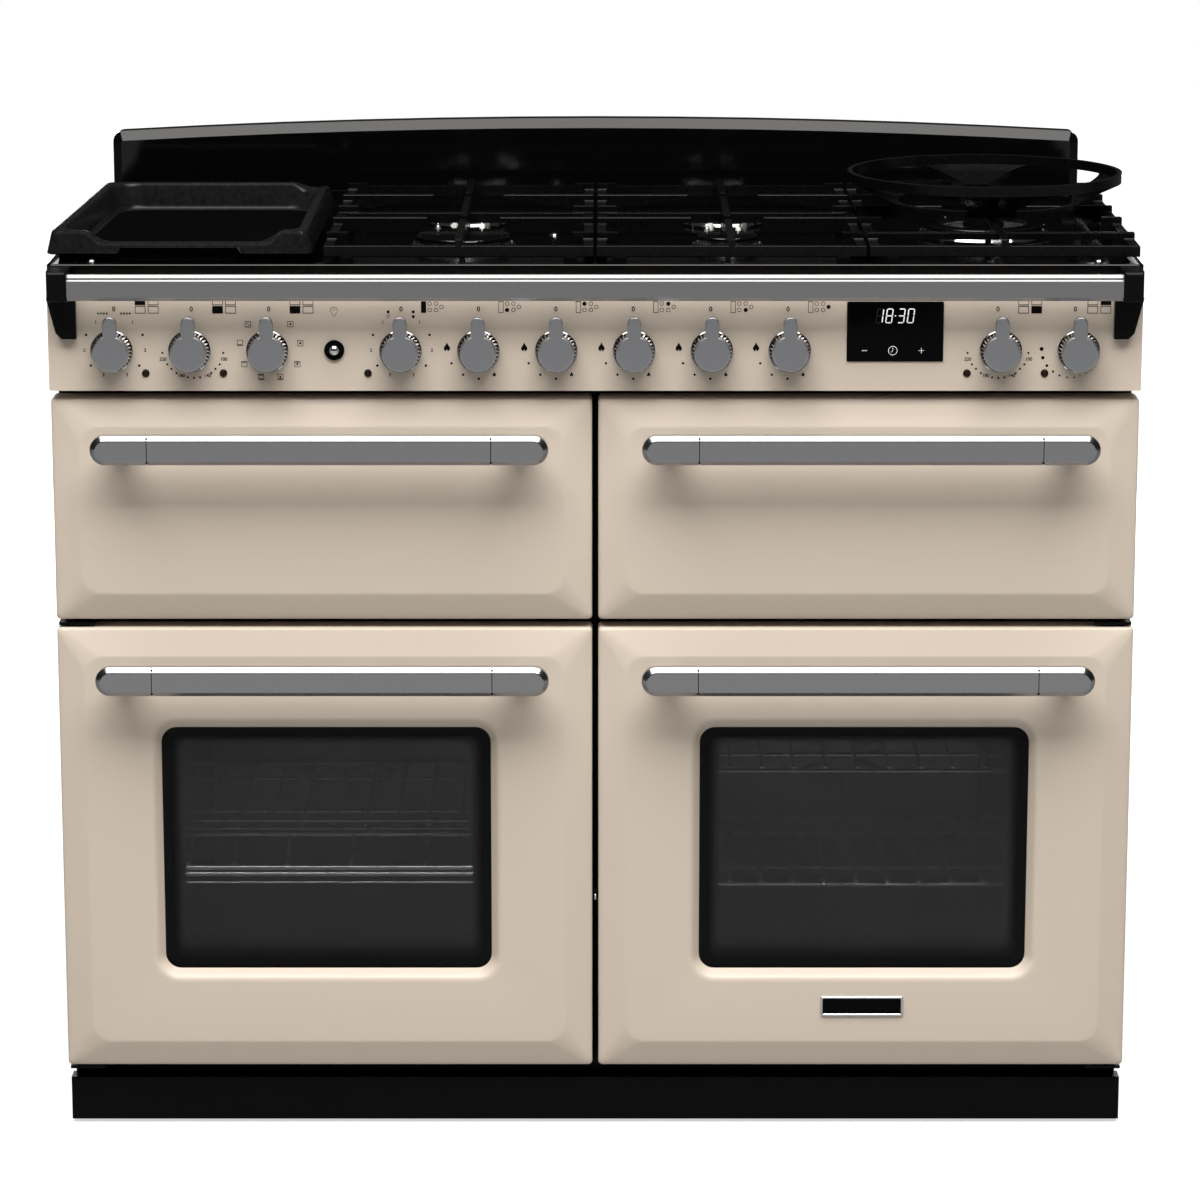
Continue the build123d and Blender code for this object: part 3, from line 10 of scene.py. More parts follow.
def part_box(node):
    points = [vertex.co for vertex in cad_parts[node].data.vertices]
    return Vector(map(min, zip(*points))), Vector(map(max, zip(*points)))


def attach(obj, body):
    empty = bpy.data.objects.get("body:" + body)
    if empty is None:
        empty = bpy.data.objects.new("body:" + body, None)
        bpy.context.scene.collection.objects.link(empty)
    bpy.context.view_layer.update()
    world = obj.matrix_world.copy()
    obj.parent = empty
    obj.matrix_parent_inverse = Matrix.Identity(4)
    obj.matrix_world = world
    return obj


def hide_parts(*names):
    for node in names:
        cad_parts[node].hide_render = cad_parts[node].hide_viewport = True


bl_info = {
    "name": "Range Cooker",
    "version": (1, 0, 0),
    "blender": (4, 5, 0),
    "location": "View3D > Sidebar > Cooker",
    "description": "Dresses a free-standing range cooker with enamel, steel, cast iron and printed dials",
    "category": "Object",
}

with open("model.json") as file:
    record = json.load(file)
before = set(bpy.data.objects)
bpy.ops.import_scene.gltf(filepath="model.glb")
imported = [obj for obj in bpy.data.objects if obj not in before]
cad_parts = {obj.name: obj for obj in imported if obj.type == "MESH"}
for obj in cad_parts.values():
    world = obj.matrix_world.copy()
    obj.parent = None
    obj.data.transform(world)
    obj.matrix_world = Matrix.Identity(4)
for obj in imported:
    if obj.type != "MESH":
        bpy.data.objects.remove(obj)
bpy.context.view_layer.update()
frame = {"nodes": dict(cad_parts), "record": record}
NODES = frame["nodes"]
BODY_OF_NODE = {
    node: body
    for body, members in frame["record"]["behaviour"]["bodies"].items()
    for node in members
}
FASCIA_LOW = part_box("control_fascia")[0]
FRONT_Y = FASCIA_LOW.y
HOB_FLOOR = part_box("pan_supports")[0].z
KNOBS = sorted(node for node in NODES if node.startswith("knob_"))
GAS_KNOBS = ("front_left", "rear_left", "rear_centre", "front_centre", "wok")
MM = 0.001
FULL_ROUND = 1.0


class CookerColours(bpy.types.PropertyGroup):
    """Colours of the cooker's finishes."""

    cream: FloatVectorProperty(
        name="Cream enamel",
        description="Vitreous enamel of the doors, drawer fronts and fascia",
        subtype="COLOR",
        default=(0.620, 0.5375, 0.4525),
        min=0.0,
        max=1.0,
    )
    black_gloss: FloatVectorProperty(
        name="Black enamel",
        description="Gloss enamel of the hob tray, upstand and burner caps",
        subtype="COLOR",
        default=(0.0012, 0.0012, 0.0012),
        min=0.0,
        max=1.0,
    )
    black_satin: FloatVectorProperty(
        name="Satin black",
        description="Paint of the plinth, base frame, hinges and rail brackets",
        subtype="COLOR",
        default=(0.0012, 0.0012, 0.0012),
        min=0.0,
        max=1.0,
    )
    iron: FloatVectorProperty(
        name="Cast iron",
        description="Matt enamel on the pan supports and wok ring",
        subtype="COLOR",
        default=(0.0018, 0.0018, 0.0018),
        min=0.0,
        max=1.0,
    )
    steel: FloatVectorProperty(
        name="Satin steel",
        description="Handles and handrail",
        subtype="COLOR",
        default=(0.330, 0.331, 0.340),
        min=0.0,
        max=1.0,
    )
    chrome: FloatVectorProperty(
        name="Chrome",
        description="Light button, tray screws, burner rims, door catch and the plate's border",
        subtype="COLOR",
        default=(0.600, 0.600, 0.605),
        min=0.0,
        max=1.0,
    )
    knob_face: FloatVectorProperty(
        name="Knob face",
        description="Satin face and pointer of each knob",
        subtype="COLOR",
        default=(0.410, 0.415, 0.430),
        min=0.0,
        max=1.0,
    )
    glass: FloatVectorProperty(
        name="Oven glass",
        description="Smoky tint of the oven windows",
        subtype="COLOR",
        default=(0.0065, 0.0065, 0.0080),
        min=0.0,
        max=1.0,
    )
    print_ink: FloatVectorProperty(
        name="Print",
        description="Ink of the dial marks and pictograms",
        subtype="COLOR",
        default=(0.0030, 0.0028, 0.0026),
        min=0.0,
        max=1.0,
    )


class CookerSizes(bpy.types.PropertyGroup):
    """Sizes of the dressed pieces."""

    border: FloatProperty(
        name="Sloping border",
        description="Width of the sloping border round each pressed front",
        unit="LENGTH",
        default=0.028,
        min=0.01,
        max=0.05,
    )
    border_drop: FloatProperty(
        name="Border drop",
        description="How far the border falls back from the raised field",
        unit="LENGTH",
        default=0.009,
        min=0.002,
        max=0.02,
    )
    field_corner: FloatProperty(
        name="Field corner",
        description="Corner radius of the raised field",
        unit="LENGTH",
        default=0.020,
        min=0.004,
        max=0.05,
    )
    window_lip: FloatProperty(
        name="Window lip",
        description="Width of the rounded lip round each oven window",
        unit="LENGTH",
        default=0.010,
        min=0.004,
        max=0.03,
    )
    handle_split: FloatProperty(
        name="Handle end",
        description="Length of each end cap of a handle",
        unit="LENGTH",
        default=0.057,
        min=0.03,
        max=0.1,
    )
    print_lift: FloatProperty(
        name="Print thickness",
        description="How far the ink stands proud of the enamel",
        unit="LENGTH",
        default=0.00015,
        min=0.00005,
        max=0.0005,
    )
    corner_steps: IntProperty(
        name="Corner steps",
        description="Segments in each rounded corner",
        default=10,
        min=3,
        max=32,
    )


def node_tree(name):
    """New material with its tree and its Principled shader."""
    material = bpy.data.materials.new(name)
    material.use_nodes = True
    tree = material.node_tree
    return material, tree, tree.nodes["Principled BSDF"]


def feed(tree, node, inputs):
    """Gives each named input of a node its value, or links the output that drives it."""
    for key, value in inputs.items():
        if isinstance(value, bpy.types.NodeSocket):
            tree.links.new(value, node.inputs[key])
        else:
            node.inputs[key].default_value = value


def add(tree, kind, inputs, operation=None):
    """New shader node with its inputs fed."""
    node = tree.nodes.new("ShaderNode" + kind)
    if operation:
        node.operation = operation
    feed(tree, node, inputs)
    return node


def coordinates(tree, stretch=(1.0, 1.0, 1.0)):
    """Object coordinates, optionally stretched to draw the grain out along an axis."""
    place = add(tree, "TexCoord", {}).outputs["Object"]
    return add(tree, "Mapping", {"Scale": stretch, "Vector": place}).outputs["Vector"]


def noise(tree, vector, scale, detail=3.0):
    """Noise factor at a scale in cycles per metre."""
    return add(tree, "TexNoise", {"Scale": scale, "Detail": detail, "Vector": vector}).outputs["Fac"]


def ramp(tree, factor, low, high, start=0.3, end=0.7):
    """Colour ramp between two colours."""
    node = add(tree, "ValToRGB", {"Fac": factor})
    for stop, place, colour in zip(node.color_ramp.elements, (start, end), (low, high)):
        stop.position = place
        stop.color = (*colour, 1.0)
    return node.outputs["Color"]


def shade(colour, share):
    """A colour made lighter or darker by a share."""
    return tuple(min(1.0, max(0.0, c * (1.0 + share))) for c in colour)


def tint(tree, factor, colour, darker, lighter, start=0.3, end=0.7):
    """Ramp between two shades of one colour."""
    return ramp(tree, factor, shade(colour, darker), shade(colour, lighter), start, end)


def spread(tree, factor, low, high, start=0.3, end=0.7):
    """Maps a factor's range to another range."""
    limits = {"From Min": start, "From Max": end, "To Min": low, "To Max": high}
    return add(tree, "MapRange", {"Value": factor, **limits}).outputs["Result"]


def relief(tree, height, strength, distance):
    """Normal with a fine relief."""
    inputs = {"Height": height, "Strength": strength, "Distance": distance}
    return add(tree, "Bump", inputs).outputs["Normal"]


def enamel(name, colour, roughness, variation, gloss, peel):
    """Vitreous enamel with a faint orange peel and slight colour drift."""
    material, tree, shader = node_tree(name)
    where = coordinates(tree)
    feed(tree, shader, {
        "Base Color": tint(tree, noise(tree, where, 6.0), colour, -variation, variation),
        "Roughness": spread(tree, noise(tree, where, 40.0), roughness * 0.95, roughness * 1.05),
        "Specular IOR Level": gloss,
        "Normal": relief(tree, noise(tree, where, 260.0, 1.0), peel, 0.0004),
    })
    return material


def satin_paint(name, colour, roughness, gloss=0.12, drift=0.2):
    """Powder-coated steel with a fine texture."""
    material, tree, shader = node_tree(name)
    where = coordinates(tree)
    feed(tree, shader, {
        "Base Color": tint(tree, noise(tree, where, 25.0), colour, -drift, drift),
        "Roughness": spread(tree, noise(tree, where, 300.0), roughness - 0.05, roughness + 0.07),
        "Specular IOR Level": gloss,
        "Normal": relief(tree, noise(tree, where, 1400.0, 2.0), 0.12, 0.0003),
    })
    return material


def cast_iron(name, colour, gloss=0.5):
    """Matt enamelled casting with a grainy skin."""
    material, tree, shader = node_tree(name)
    where = coordinates(tree)
    feed(tree, shader, {
        "Base Color": tint(tree, noise(tree, where, 180.0, 6.0), colour, -0.3, 0.6),
        "Roughness": spread(tree, noise(tree, where, 500.0), 0.20, 0.30),
        "Specular IOR Level": gloss,
        "Normal": relief(tree, noise(tree, where, 900.0, 6.0), 0.05, 0.0005),
    })
    return material


def brushed_metal(name, colour, roughness, stretch, grain):
    """Metal with fine drawn lines along one axis."""
    material, tree, shader = node_tree(name)
    lines = noise(tree, coordinates(tree, stretch), 900.0, 4.0)
    feed(tree, shader, {
        "Base Color": tint(tree, lines, colour, -grain, grain),
        "Roughness": spread(tree, lines, roughness * 0.94, roughness * 1.06),
        "Metallic": 1.0,
        "Normal": relief(tree, lines, 0.006, 0.0002),
    })
    return material


def polished(name, colour, roughness):
    """Plated metal with faint cloudiness."""
    material, tree, shader = node_tree(name)
    cloud = noise(tree, coordinates(tree), 60.0)
    feed(tree, shader, {
        "Base Color": tint(tree, cloud, colour, -0.04, 0.04),
        "Roughness": spread(tree, cloud, roughness * 0.7, roughness * 1.3),
        "Metallic": 1.0,
    })
    return material


def spangled(name, colour):
    """Galvanised sheet with its crystal pattern."""
    material, tree, shader = node_tree(name)
    where = coordinates(tree)
    cells = add(tree, "TexVoronoi", {"Scale": 70.0, "Vector": where}).outputs["Distance"]
    feed(tree, shader, {
        "Base Color": tint(tree, cells, colour, -0.1, 0.12, 0.0, 0.8),
        "Roughness": spread(tree, noise(tree, where, 50.0), 0.35, 0.5),
        "Metallic": 0.9,
    })
    return material


def moulded(name, colour, roughness, gloss=0.15):
    """Moulded plastic or ink with slight unevenness."""
    material, tree, shader = node_tree(name)
    drift = noise(tree, coordinates(tree), 120.0)
    feed(tree, shader, {
        "Base Color": tint(tree, drift, colour, -0.1, 0.1),
        "Roughness": spread(tree, drift, roughness * 0.9, roughness * 1.1),
        "Specular IOR Level": gloss,
    })
    return material


def smoked(name, colour, roughness, cover, gloss=0.5):
    """See-through sheet that hides a share of what lies behind it."""
    material, tree, shader = node_tree(name)
    cloud = noise(tree, coordinates(tree), 8.0)
    feed(tree, shader, {
        "Base Color": (*colour, 1.0),
        "Roughness": spread(tree, cloud, roughness * 0.8, roughness * 1.2),
        "Alpha": cover,
        "Specular IOR Level": gloss,
    })
    return material


def lit_mark(name, colour, strength):
    """Glowing display segment."""
    material, tree, shader = node_tree(name)
    crest = (0.90, 0.91, 0.92)
    glow = ramp(tree, noise(tree, coordinates(tree), 900.0), colour, crest)
    feed(tree, shader, {"Base Color": glow, "Emission Color": glow, "Emission Strength": strength})
    return material


ALONG_X = (0.02, 1.0, 1.0)
LIT_COLOUR = (0.78, 0.80, 0.82)
DOT_COVERS = (0.93, 0.80, 0.63, 0.45, 0.28, 0.13)
RECIPES = {
    "cream": (enamel, "cream_enamel", "cream", 0.36, 0.003, 0.35, 0.004),
    "black": (enamel, "black_enamel", "black_gloss", 0.10, 0.10, 0.35, 0.02),
    "satin": (satin_paint, "satin_black", "black_satin", 0.40),
    "panel": (satin_paint, "panel_paint", (0.035, 0.035, 0.036), 0.45, 0.25, 0.03),
    "iron": (cast_iron, "cast_iron", "iron", 0.15),
    "skirt": (cast_iron, "griddle_casting", (0.0055, 0.0055, 0.0055), 0.15),
    # Darker, glossless copy of the griddle's black for the well floor: painted shade.
    "well": (enamel, "griddle_coating", (0.0016, 0.0016, 0.0016), 0.30, 0.05, 0.0, 0.01),
    "steel": (brushed_metal, "satin_steel", "steel", 0.20, ALONG_X, 0.02),
    # Half-bright copy of the satin steel for the handrail's top bevel strips: painted shade.
    "edge": (brushed_metal, "bevel_steel", (0.15, 0.15, 0.153), 0.22, ALONG_X, 0.02),
    "face": (brushed_metal, "knob_face", "knob_face", 0.34, (0.1, 1.0, 1.0), 0.02),
    "chrome": (polished, "chrome", "chrome", 0.07),
    "collar": (polished, "dark_chrome", (0.26, 0.26, 0.265), 0.14),
    # Near-black and bright copies of one polished metal for the knob flutes: painted dark reflection and
    # painted highlights.
    "flute": (polished, "knob_flutes", (0.020, 0.020, 0.021), 0.08),
    "painted_glint": (polished, "flute_crests", (0.85, 0.85, 0.86), 0.10),
    "wire": (polished, "chrome_wire", (0.80, 0.80, 0.81), 0.30),
    "alloy": (polished, "cast_alloy", (0.50, 0.50, 0.50), 0.20),
    "brass": (polished, "brass", (0.60, 0.44, 0.20), 0.25),
    "glass": (smoked, "oven_glass", (0.02, 0.02, 0.021), 0.03, 0.06),
    "film": (smoked, "oven_film", "glass", 0.30, 0.84),
    "frit": (moulded, "glass_frit", (0.0012, 0.0012, 0.0013), 0.30, 0.03),
    "oven": (enamel, "oven_enamel", (0.030, 0.030, 0.034), 0.30, 0.5, 0.4, 0.05),
    "zinc": (spangled, "galvanised", (0.42, 0.43, 0.44)),
    "element": (cast_iron, "element_sheath", (0.10, 0.09, 0.085)),
    "seal": (satin_paint, "door_seal", (0.02, 0.02, 0.02), 0.8),
    "plastic": (moulded, "gloss_plastic", (0.0012, 0.0012, 0.0014), 0.10, 0.05),
    "lens": (moulded, "neon_lens", (0.016, 0.008, 0.005), 0.18),
    "ink": (moulded, "print_ink", "print_ink", 0.60, 0.05),
    "ink_grey": (moulded, "print_grey", (0.030, 0.026, 0.022), 0.60, 0.05),
    "white": (moulded, "ceramic", (0.75, 0.74, 0.70), 0.35),
    "lit": (lit_mark, "lit_segment", LIT_COLOUR, 0.55),
    "lit_dim": (lit_mark, "lit_icon", LIT_COLOUR, 0.25),
    "ghost": (moulded, "unlit_segment", (0.018, 0.018, 0.018), 0.3),
}
# Black dot print fading inward from each window border: partly a real frit pattern, partly painted shade
# along the window's inner edges.
RECIPES.update({
    f"dots_{index}": (smoked, f"frit_dots_{index}", (0.002, 0.002, 0.002), 0.35, cover, 0.04)
    for index, cover in enumerate(DOT_COVERS, 1)
})
FINISHES = {}


def finish(key):
    """The material of that finish, made on first use."""
    if key not in FINISHES:
        maker, name, colour, *rest = RECIPES[key]
        if isinstance(colour, str):
            colour = tuple(getattr(bpy.context.scene.cooker_colours, colour))
        FINISHES[key] = maker(name, colour, *rest)
    return FINISHES[key]


def paint(node, key):
    """Gives a CAD node one finish."""
    data = NODES[node].data
    data.materials.clear()
    data.materials.append(finish(key))


def soften(node, width):
    """Rounds the hard edges of a CAD node with modifiers, leaving its mesh alone."""
    piece = NODES[node]
    weld = piece.modifiers.new("weld", "WELD")
    weld.merge_threshold = 0.00002
    edge = piece.modifiers.new("soft_edge", "BEVEL")
    edge.width = width
    edge.segments = 2
    edge.limit_method = "ANGLE"
    edge.angle_limit = math.radians(35.0)
    edge.use_clamp_overlap = True


def settle(mesh, name, body, finishes):
    """Object from a bmesh, painted and riding on its body."""
    data = bpy.data.meshes.new(name)
    mesh.to_mesh(data)
    mesh.free()
    piece = bpy.data.objects.new(name, data)
    bpy.context.scene.collection.objects.link(piece)
    for key in finishes:
        data.materials.append(finish(key))
    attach(piece, body)
    return piece


def piece_from(mesh, name, body, finishes, sharp=35.0):
    """Solid piece with its normals outward and its shading smooth below the sharp angle."""
    bmesh.ops.recalc_face_normals(mesh, faces=mesh.faces)
    piece = settle(mesh, name, body, finishes)
    piece.data.shade_smooth()
    piece.data.set_sharp_from_angle(angle=math.radians(sharp))
    return piece


def front_of(node):
    """Middle, width and height of a node seen from the front, then its front and rear depth."""
    low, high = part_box(node)
    return (low.x + high.x) / 2, (low.z + high.z) / 2, high.x - low.x, high.z - low.z, low.y, high.y


def circle(radius, count):
    """Points round the origin."""
    turns = [2 * math.pi * i / count for i in range(count)]
    return [(radius * math.cos(turn), radius * math.sin(turn)) for turn in turns]


def quarter(steps):
    """Cosine and sine of the angles inside a quarter turn."""
    angles = [math.pi / 2 * step / steps for step in range(1, steps)]
    return [(math.cos(angle), math.sin(angle)) for angle in angles]


def rounded_outline(x, z, width, height, radius, steps):
    """Points of a rounded rectangle, in order, with the same count for any size."""
    radius = max(0.00005, min(radius, width / 2 - 0.00001, height / 2 - 0.00001))
    corners = (
        (x + width / 2 - radius, z + height / 2 - radius, 0.0),
        (x - width / 2 + radius, z + height / 2 - radius, 90.0),
        (x - width / 2 + radius, z - height / 2 + radius, 180.0),
        (x + width / 2 - radius, z - height / 2 + radius, 270.0),
    )
    points = []
    for cx, cz, start in corners:
        for step in range(steps + 1):
            angle = math.radians(start + 90.0 * step / steps)
            points.append((cx + radius * math.cos(angle), cz + radius * math.sin(angle)))
    return points


def ring_at(outline, y):
    """Ring of points at one depth."""
    return [(x, y, z) for x, z in outline]


def stepped(x, z, width, height, radius, steps, profile, follow=0.0):
    """Rings of one rounded rectangle, each drawn in by an inset at a depth.

    The corner radius changes by the share follow of each inset.
    """
    rings = []
    for inset, y in profile:
        corner = radius + follow * inset
        outline = rounded_outline(x, z, width - 2 * inset, height - 2 * inset, corner, steps)
        rings.append(ring_at(outline, y))
    return rings


def skin(mesh, rings, first=False, last=False, material=0):
    """Joins rings of equal count with quads, and caps either end."""
    rows = [[mesh.verts.new(point) for point in ring] for ring in rings]
    count = len(rows[0])
    for near, far in zip(rows, rows[1:]):
        for i in range(count):
            j = (i + 1) % count
            face = mesh.faces.new((near[i], near[j], far[j], far[i]))
            face.material_index = material
    if first:
        mesh.faces.new(rows[0][::-1]).material_index = material
    if last:
        mesh.faces.new(rows[-1]).material_index = material


def turned(mesh, profile, x, z, count, material=0, first=False, last=False):
    """Surface turned about an axis along Y, from (radius, y) pairs."""
    rings = [[(x + a, y, z + b) for a, b in circle(radius, count)] for radius, y in profile]
    skin(mesh, rings, first, last, material)


def turned_up(mesh, profile, x, y, count, material=0, first=False, last=False):
    """Surface turned about an upright axis, from (radius, z) pairs."""
    rings = [[(x + a, y + b, z) for a, b in circle(radius, count)] for radius, z in profile]
    skin(mesh, rings, first, last, material)


class COOKER_OT_fronts(bpy.types.Operator):
    """Pressed enamel fronts of the ovens and drawers, with soft borders and window lips"""

    bl_idname = "cooker.fronts"
    bl_label = "Pressed fronts"

    sheet_corner = 0.004
    rear_fold = 0.0022
    glass_overlap = 0.028
    opening_corner = 0.016

    def execute(self, context):
        for node in ("left_door_panel", "right_door_panel", "grill_front", "slow_cook_front"):
            self.press(context.scene.cooker_sizes, node)
        return {"FINISHED"}

    def press(self, sizes, node):
        """One front, from its folded rear edge over the border to the field or the window."""
        x, z, width, height, face, rear = front_of(node)
        border, drop, steps = sizes.border, sizes.border_drop, sizes.corner_steps
        edge = face + drop
        profile = [
            (self.rear_fold, rear - 0.008), (self.rear_fold, rear), (0.0, rear),
            (0.0, edge + 0.0030), (0.0003, edge + 0.0012), (0.0012, edge - 0.0001), (0.0030, edge - 0.0009),
        ]
        profile += [(border * share, face + drop * (1 - share)) for share in (0.25, 0.5, 0.75)]
        profile += [
            (border - 0.0012, face + 0.00040), (border - 0.0003, face + 0.00015),
            (border + 0.0008, face + 0.00002), (border + 0.0030, face),
        ]
        rings = []
        for inset, y in profile:
            blend = min(1.0, inset / border)
            radius = self.sheet_corner + (sizes.field_corner - self.sheet_corner) * blend
            rings += stepped(x, z, width, height, radius, steps, [(inset, y)])
        mesh = bmesh.new()
        if "door" in node:
            skin(mesh, rings + self.window_lip(sizes, node))
        else:
            skin(mesh, rings, last=True)
            back = [(self.rear_fold, rear - 0.0001)]
            skin(mesh, stepped(x, z, width, height, self.sheet_corner, steps, back), first=True)
        piece = piece_from(mesh, node + "_enamel", BODY_OF_NODE[node], ["cream"], 40.0)
        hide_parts(node)

    def window_lip(self, sizes, node):
        """Rings of the lip that rolls from the field down to the glass."""
        x, z, _, _, face, _ = front_of(node)
        _, _, pane_width, pane_height, pane_face, _ = front_of(node.replace("panel", "glass"))
        width, height = pane_width - self.glass_overlap, pane_height - self.glass_overlap
        depth, lip = pane_face - face, sizes.window_lip
        roll = (
            (lip + 0.0030, 0.0), (lip + 0.0010, 0.00015), (lip - 0.0010, 0.0007), (lip - 0.0030, 0.0017),
            (lip * 0.5, depth * 0.42), (lip * 0.22, depth * 0.72), (0.0008, depth * 0.90), (0.0, depth),
            (self.glass_overlap, depth),
        )
        profile = [(-out, face + y) for out, y in roll]
        return stepped(x, z, width, height, self.opening_corner, sizes.corner_steps, profile, -1.0)


class COOKER_OT_handles(bpy.types.Operator):
    """Satin steel handles: bevelled bars split into a middle and two end caps on posts"""

    bl_idname = "cooker.handles"
    bl_label = "Handles"

    bar_depth = 0.014
    half_seam = 0.0004
    post_width = 0.031
    post_height = 0.0095

    def execute(self, context):
        for node in ("left_door_handle", "right_door_handle", "grill_handle", "slow_cook_handle"):
            self.bar(context.scene.cooker_sizes, node)
        return {"FINISHED"}

    def bar(self, sizes, node):
        """One handle: three lengths of bar with dark seams between them, on two posts."""
        x, z, width, height, face, foot = front_of(node)
        rear = face + self.bar_depth
        inner = width / 2 - sizes.handle_split
        gap = self.half_seam
        bevelled = [
            (0.0016, rear), (0.0004, rear - 0.0004), (0.0, rear - 0.0016), (0.0, face + 0.0056),
            (0.0003, face + 0.0047), (0.0046, face + 0.0004), (0.0056, face),
        ]
        bar = stepped(x, z, width, height, FULL_ROUND, 14, bevelled)
        joined = bmesh.new()
        for start, end in ((-width, -inner - gap), (-inner + gap, inner - gap), (inner + gap, width)):
            self.add_length(joined, bar, x + start, x + end)
        flared = [
            (0.0, rear - 0.0005), (0.0, foot - 0.0018), (-0.0003, foot - 0.0007), (-0.0010, foot),
        ]
        sunk = [(0.0, face + 0.0014), (0.0, rear - 0.002)]
        for side in (-1, 1):
            post_x = x + side * (width / 2 - sizes.handle_split / 2)
            post = stepped(post_x, z, self.post_width, self.post_height, FULL_ROUND, 8, flared)
            skin(joined, post, True, True)
            seam = stepped(x + side * inner, z, 6 * gap, height - 0.004, gap, 2, sunk)
            skin(joined, seam, True, True, 1)
        piece = piece_from(joined, node + "_steel", BODY_OF_NODE[node], ["steel", "ink"], 15.0)
        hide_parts(node)

    def add_length(self, joined, bar, start, end):
        """Adds the stretch of the bar between two places, with its cut ends closed."""
        mesh = bmesh.new()
        skin(mesh, bar, True, True)
        for place, normal in ((start, -1.0), (end, 1.0)):
            cut = bmesh.ops.bisect_plane(
                mesh,
                geom=mesh.verts[:] + mesh.edges[:] + mesh.faces[:],
                plane_co=(place, 0.0, 0.0),
                plane_no=(normal, 0.0, 0.0),
                clear_outer=True,
            )
            open_edges = [e for e in cut["geom_cut"] if isinstance(e, bmesh.types.BMEdge)]
            if open_edges:
                bmesh.ops.holes_fill(mesh, edges=open_edges)
        part = bpy.data.meshes.new("handle_part")
        mesh.to_mesh(part)
        mesh.free()
        joined.from_mesh(part)
        bpy.data.meshes.remove(part)


class COOKER_OT_rail(bpy.types.Operator):
    """Satin steel handrail with a groove along its top bevel; the groove is inked near-black and the bevel
    strips take a darker copy of the steel, both as painted shade
    """

    bl_idname = "cooker.rail"
    bl_label = "Handrail"

    bevel = 0.006
    foot = 0.004
    groove_depth = 0.0016
    groove_top = 0.52
    groove_foot = 0.74

    def execute(self, context):
        low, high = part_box("handrail")

        def slope(share, sink=0.0):
            return low.y + self.bevel * (1 - share) + sink, high.z - self.bevel * share - sink

        section = [
            (high.y, low.z),
            (low.y + self.foot, low.z),
            (low.y, low.z + self.foot),
            slope(1.0),
            slope(self.groove_foot),
            slope(self.groove_foot, self.groove_depth),
            slope(self.groove_top, self.groove_depth),
            slope(self.groove_top),
            slope(0.0),
            (high.y, high.z),
        ]
        # The groove faces are inked near-black and the bevel strips take the darker steel copy: painted
        # shade on both.
        groove, painted_shade_strips = (4, 5, 6), (3, 7)
        mesh = bmesh.new()
        ends = [[mesh.verts.new((x, y, z)) for y, z in section] for x in (low.x, high.x)]
        for i in range(len(section)):
            j = (i + 1) % len(section)
            face = mesh.faces.new((ends[0][i], ends[0][j], ends[1][j], ends[1][i]))
            face.material_index = 1 if i in groove else 2 if i in painted_shade_strips else 0
        mesh.faces.new(ends[0])
        mesh.faces.new(ends[1][::-1])
        finishes = ["steel", "ink", "edge"]
        piece = piece_from(mesh, "handrail_steel", BODY_OF_NODE["handrail"], finishes, 15.0)
        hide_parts("handrail")
        return {"FINISHED"}


class COOKER_OT_knobs(bpy.types.Operator):
    """Control knobs: dark collar, flutes with painted dark reflections and painted highlights on alternate
    faces, satin face and a raised pointer tongue
    """

    bl_idname = "cooker.knobs"
    bl_label = "Control knobs"

    flute_points = 64
    collar_depth = 0.0032
    flute_end = 0.0095
    neck = 0.0058
    half_tongue = 0.0070
    disc_inset = 0.0030

    def execute(self, context):
        for node in KNOBS:
            self.turn(node)
        return {"FINISHED"}

    def turn(self, node):
        """One knob, from its collar against the fascia out to its face."""
        low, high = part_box(node)
        x = (low.x + high.x) / 2
        radius = (high.x - low.x) / 2
        z = low.z + radius
        face, rear = low.y, high.y
        mesh = bmesh.new()
        collar = [
            (radius - 0.0035, rear), (radius - 0.0006, rear), (radius, rear - 0.0008),
            (radius, rear - 0.0026), (radius - 0.0010, rear - self.collar_depth),
        ]
        turned(mesh, collar, x, z, 96, 0, first=True)
        flutes = []
        for reach, cut, depth in ((0.0008, 0.0016, self.collar_depth), (self.neck, 0.0010, self.flute_end)):
            ring = []
            for i in range(self.flute_points):
                angle = 2 * math.pi * i / self.flute_points
                size = radius - reach - (cut if i % 2 else 0.0)
                ring.append((x + size * math.cos(angle), rear - depth, z + size * math.sin(angle)))
            flutes.append(ring)
        skin(mesh, flutes, material=2)
        # Alternate flute faces take the near-black or the bright copy of one polished metal: painted dark
        # reflection and painted highlights.
        sides = [side for side in mesh.faces if side.material_index == 2]
        for side in sides[::2]:
            side.material_index = 3
        neck = [(radius - self.neck, rear - self.flute_end), (radius - 0.0070, face + 0.0050)]
        turned(mesh, neck, x, z, self.flute_points, 0)
        half, disc = self.half_tongue, radius - self.disc_inset
        tip = high.z - z - half
        rings = []
        for inset, depth in ((0.0, 0.0058), (0.0, 0.0012), (0.0004, 0.0004), (0.0013, 0.0)):
            rings.append(ring_at(self.outline(x, z, half - inset, disc - inset, tip), face + depth))
        skin(mesh, rings, first=True, last=True, material=1)
        finishes = ["collar", "face", "flute", "painted_glint"]
        piece = piece_from(mesh, node + "_dial", BODY_OF_NODE[node], finishes, 12.0)
        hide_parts(node)

    def outline(self, x, z, half, disc, tip):
        """Disc with a round-ended tongue pointing up."""
        meet = math.asin(half / disc)
        points = []
        for step in range(61):
            angle = math.pi / 2 + meet + (2 * math.pi - 2 * meet) * step / 60
            points.append((x + disc * math.cos(angle), z + disc * math.sin(angle)))
        base = disc * math.cos(meet)
        levels = [z + base + (tip - base) * step / 4 for step in (1, 2, 3)]
        points += [(x + half, level) for level in levels]
        for step in range(17):
            angle = math.pi * step / 16
            points.append((x + half * math.cos(angle), z + tip + half * math.sin(angle)))
        points += [(x - half, level) for level in reversed(levels)]
        return points


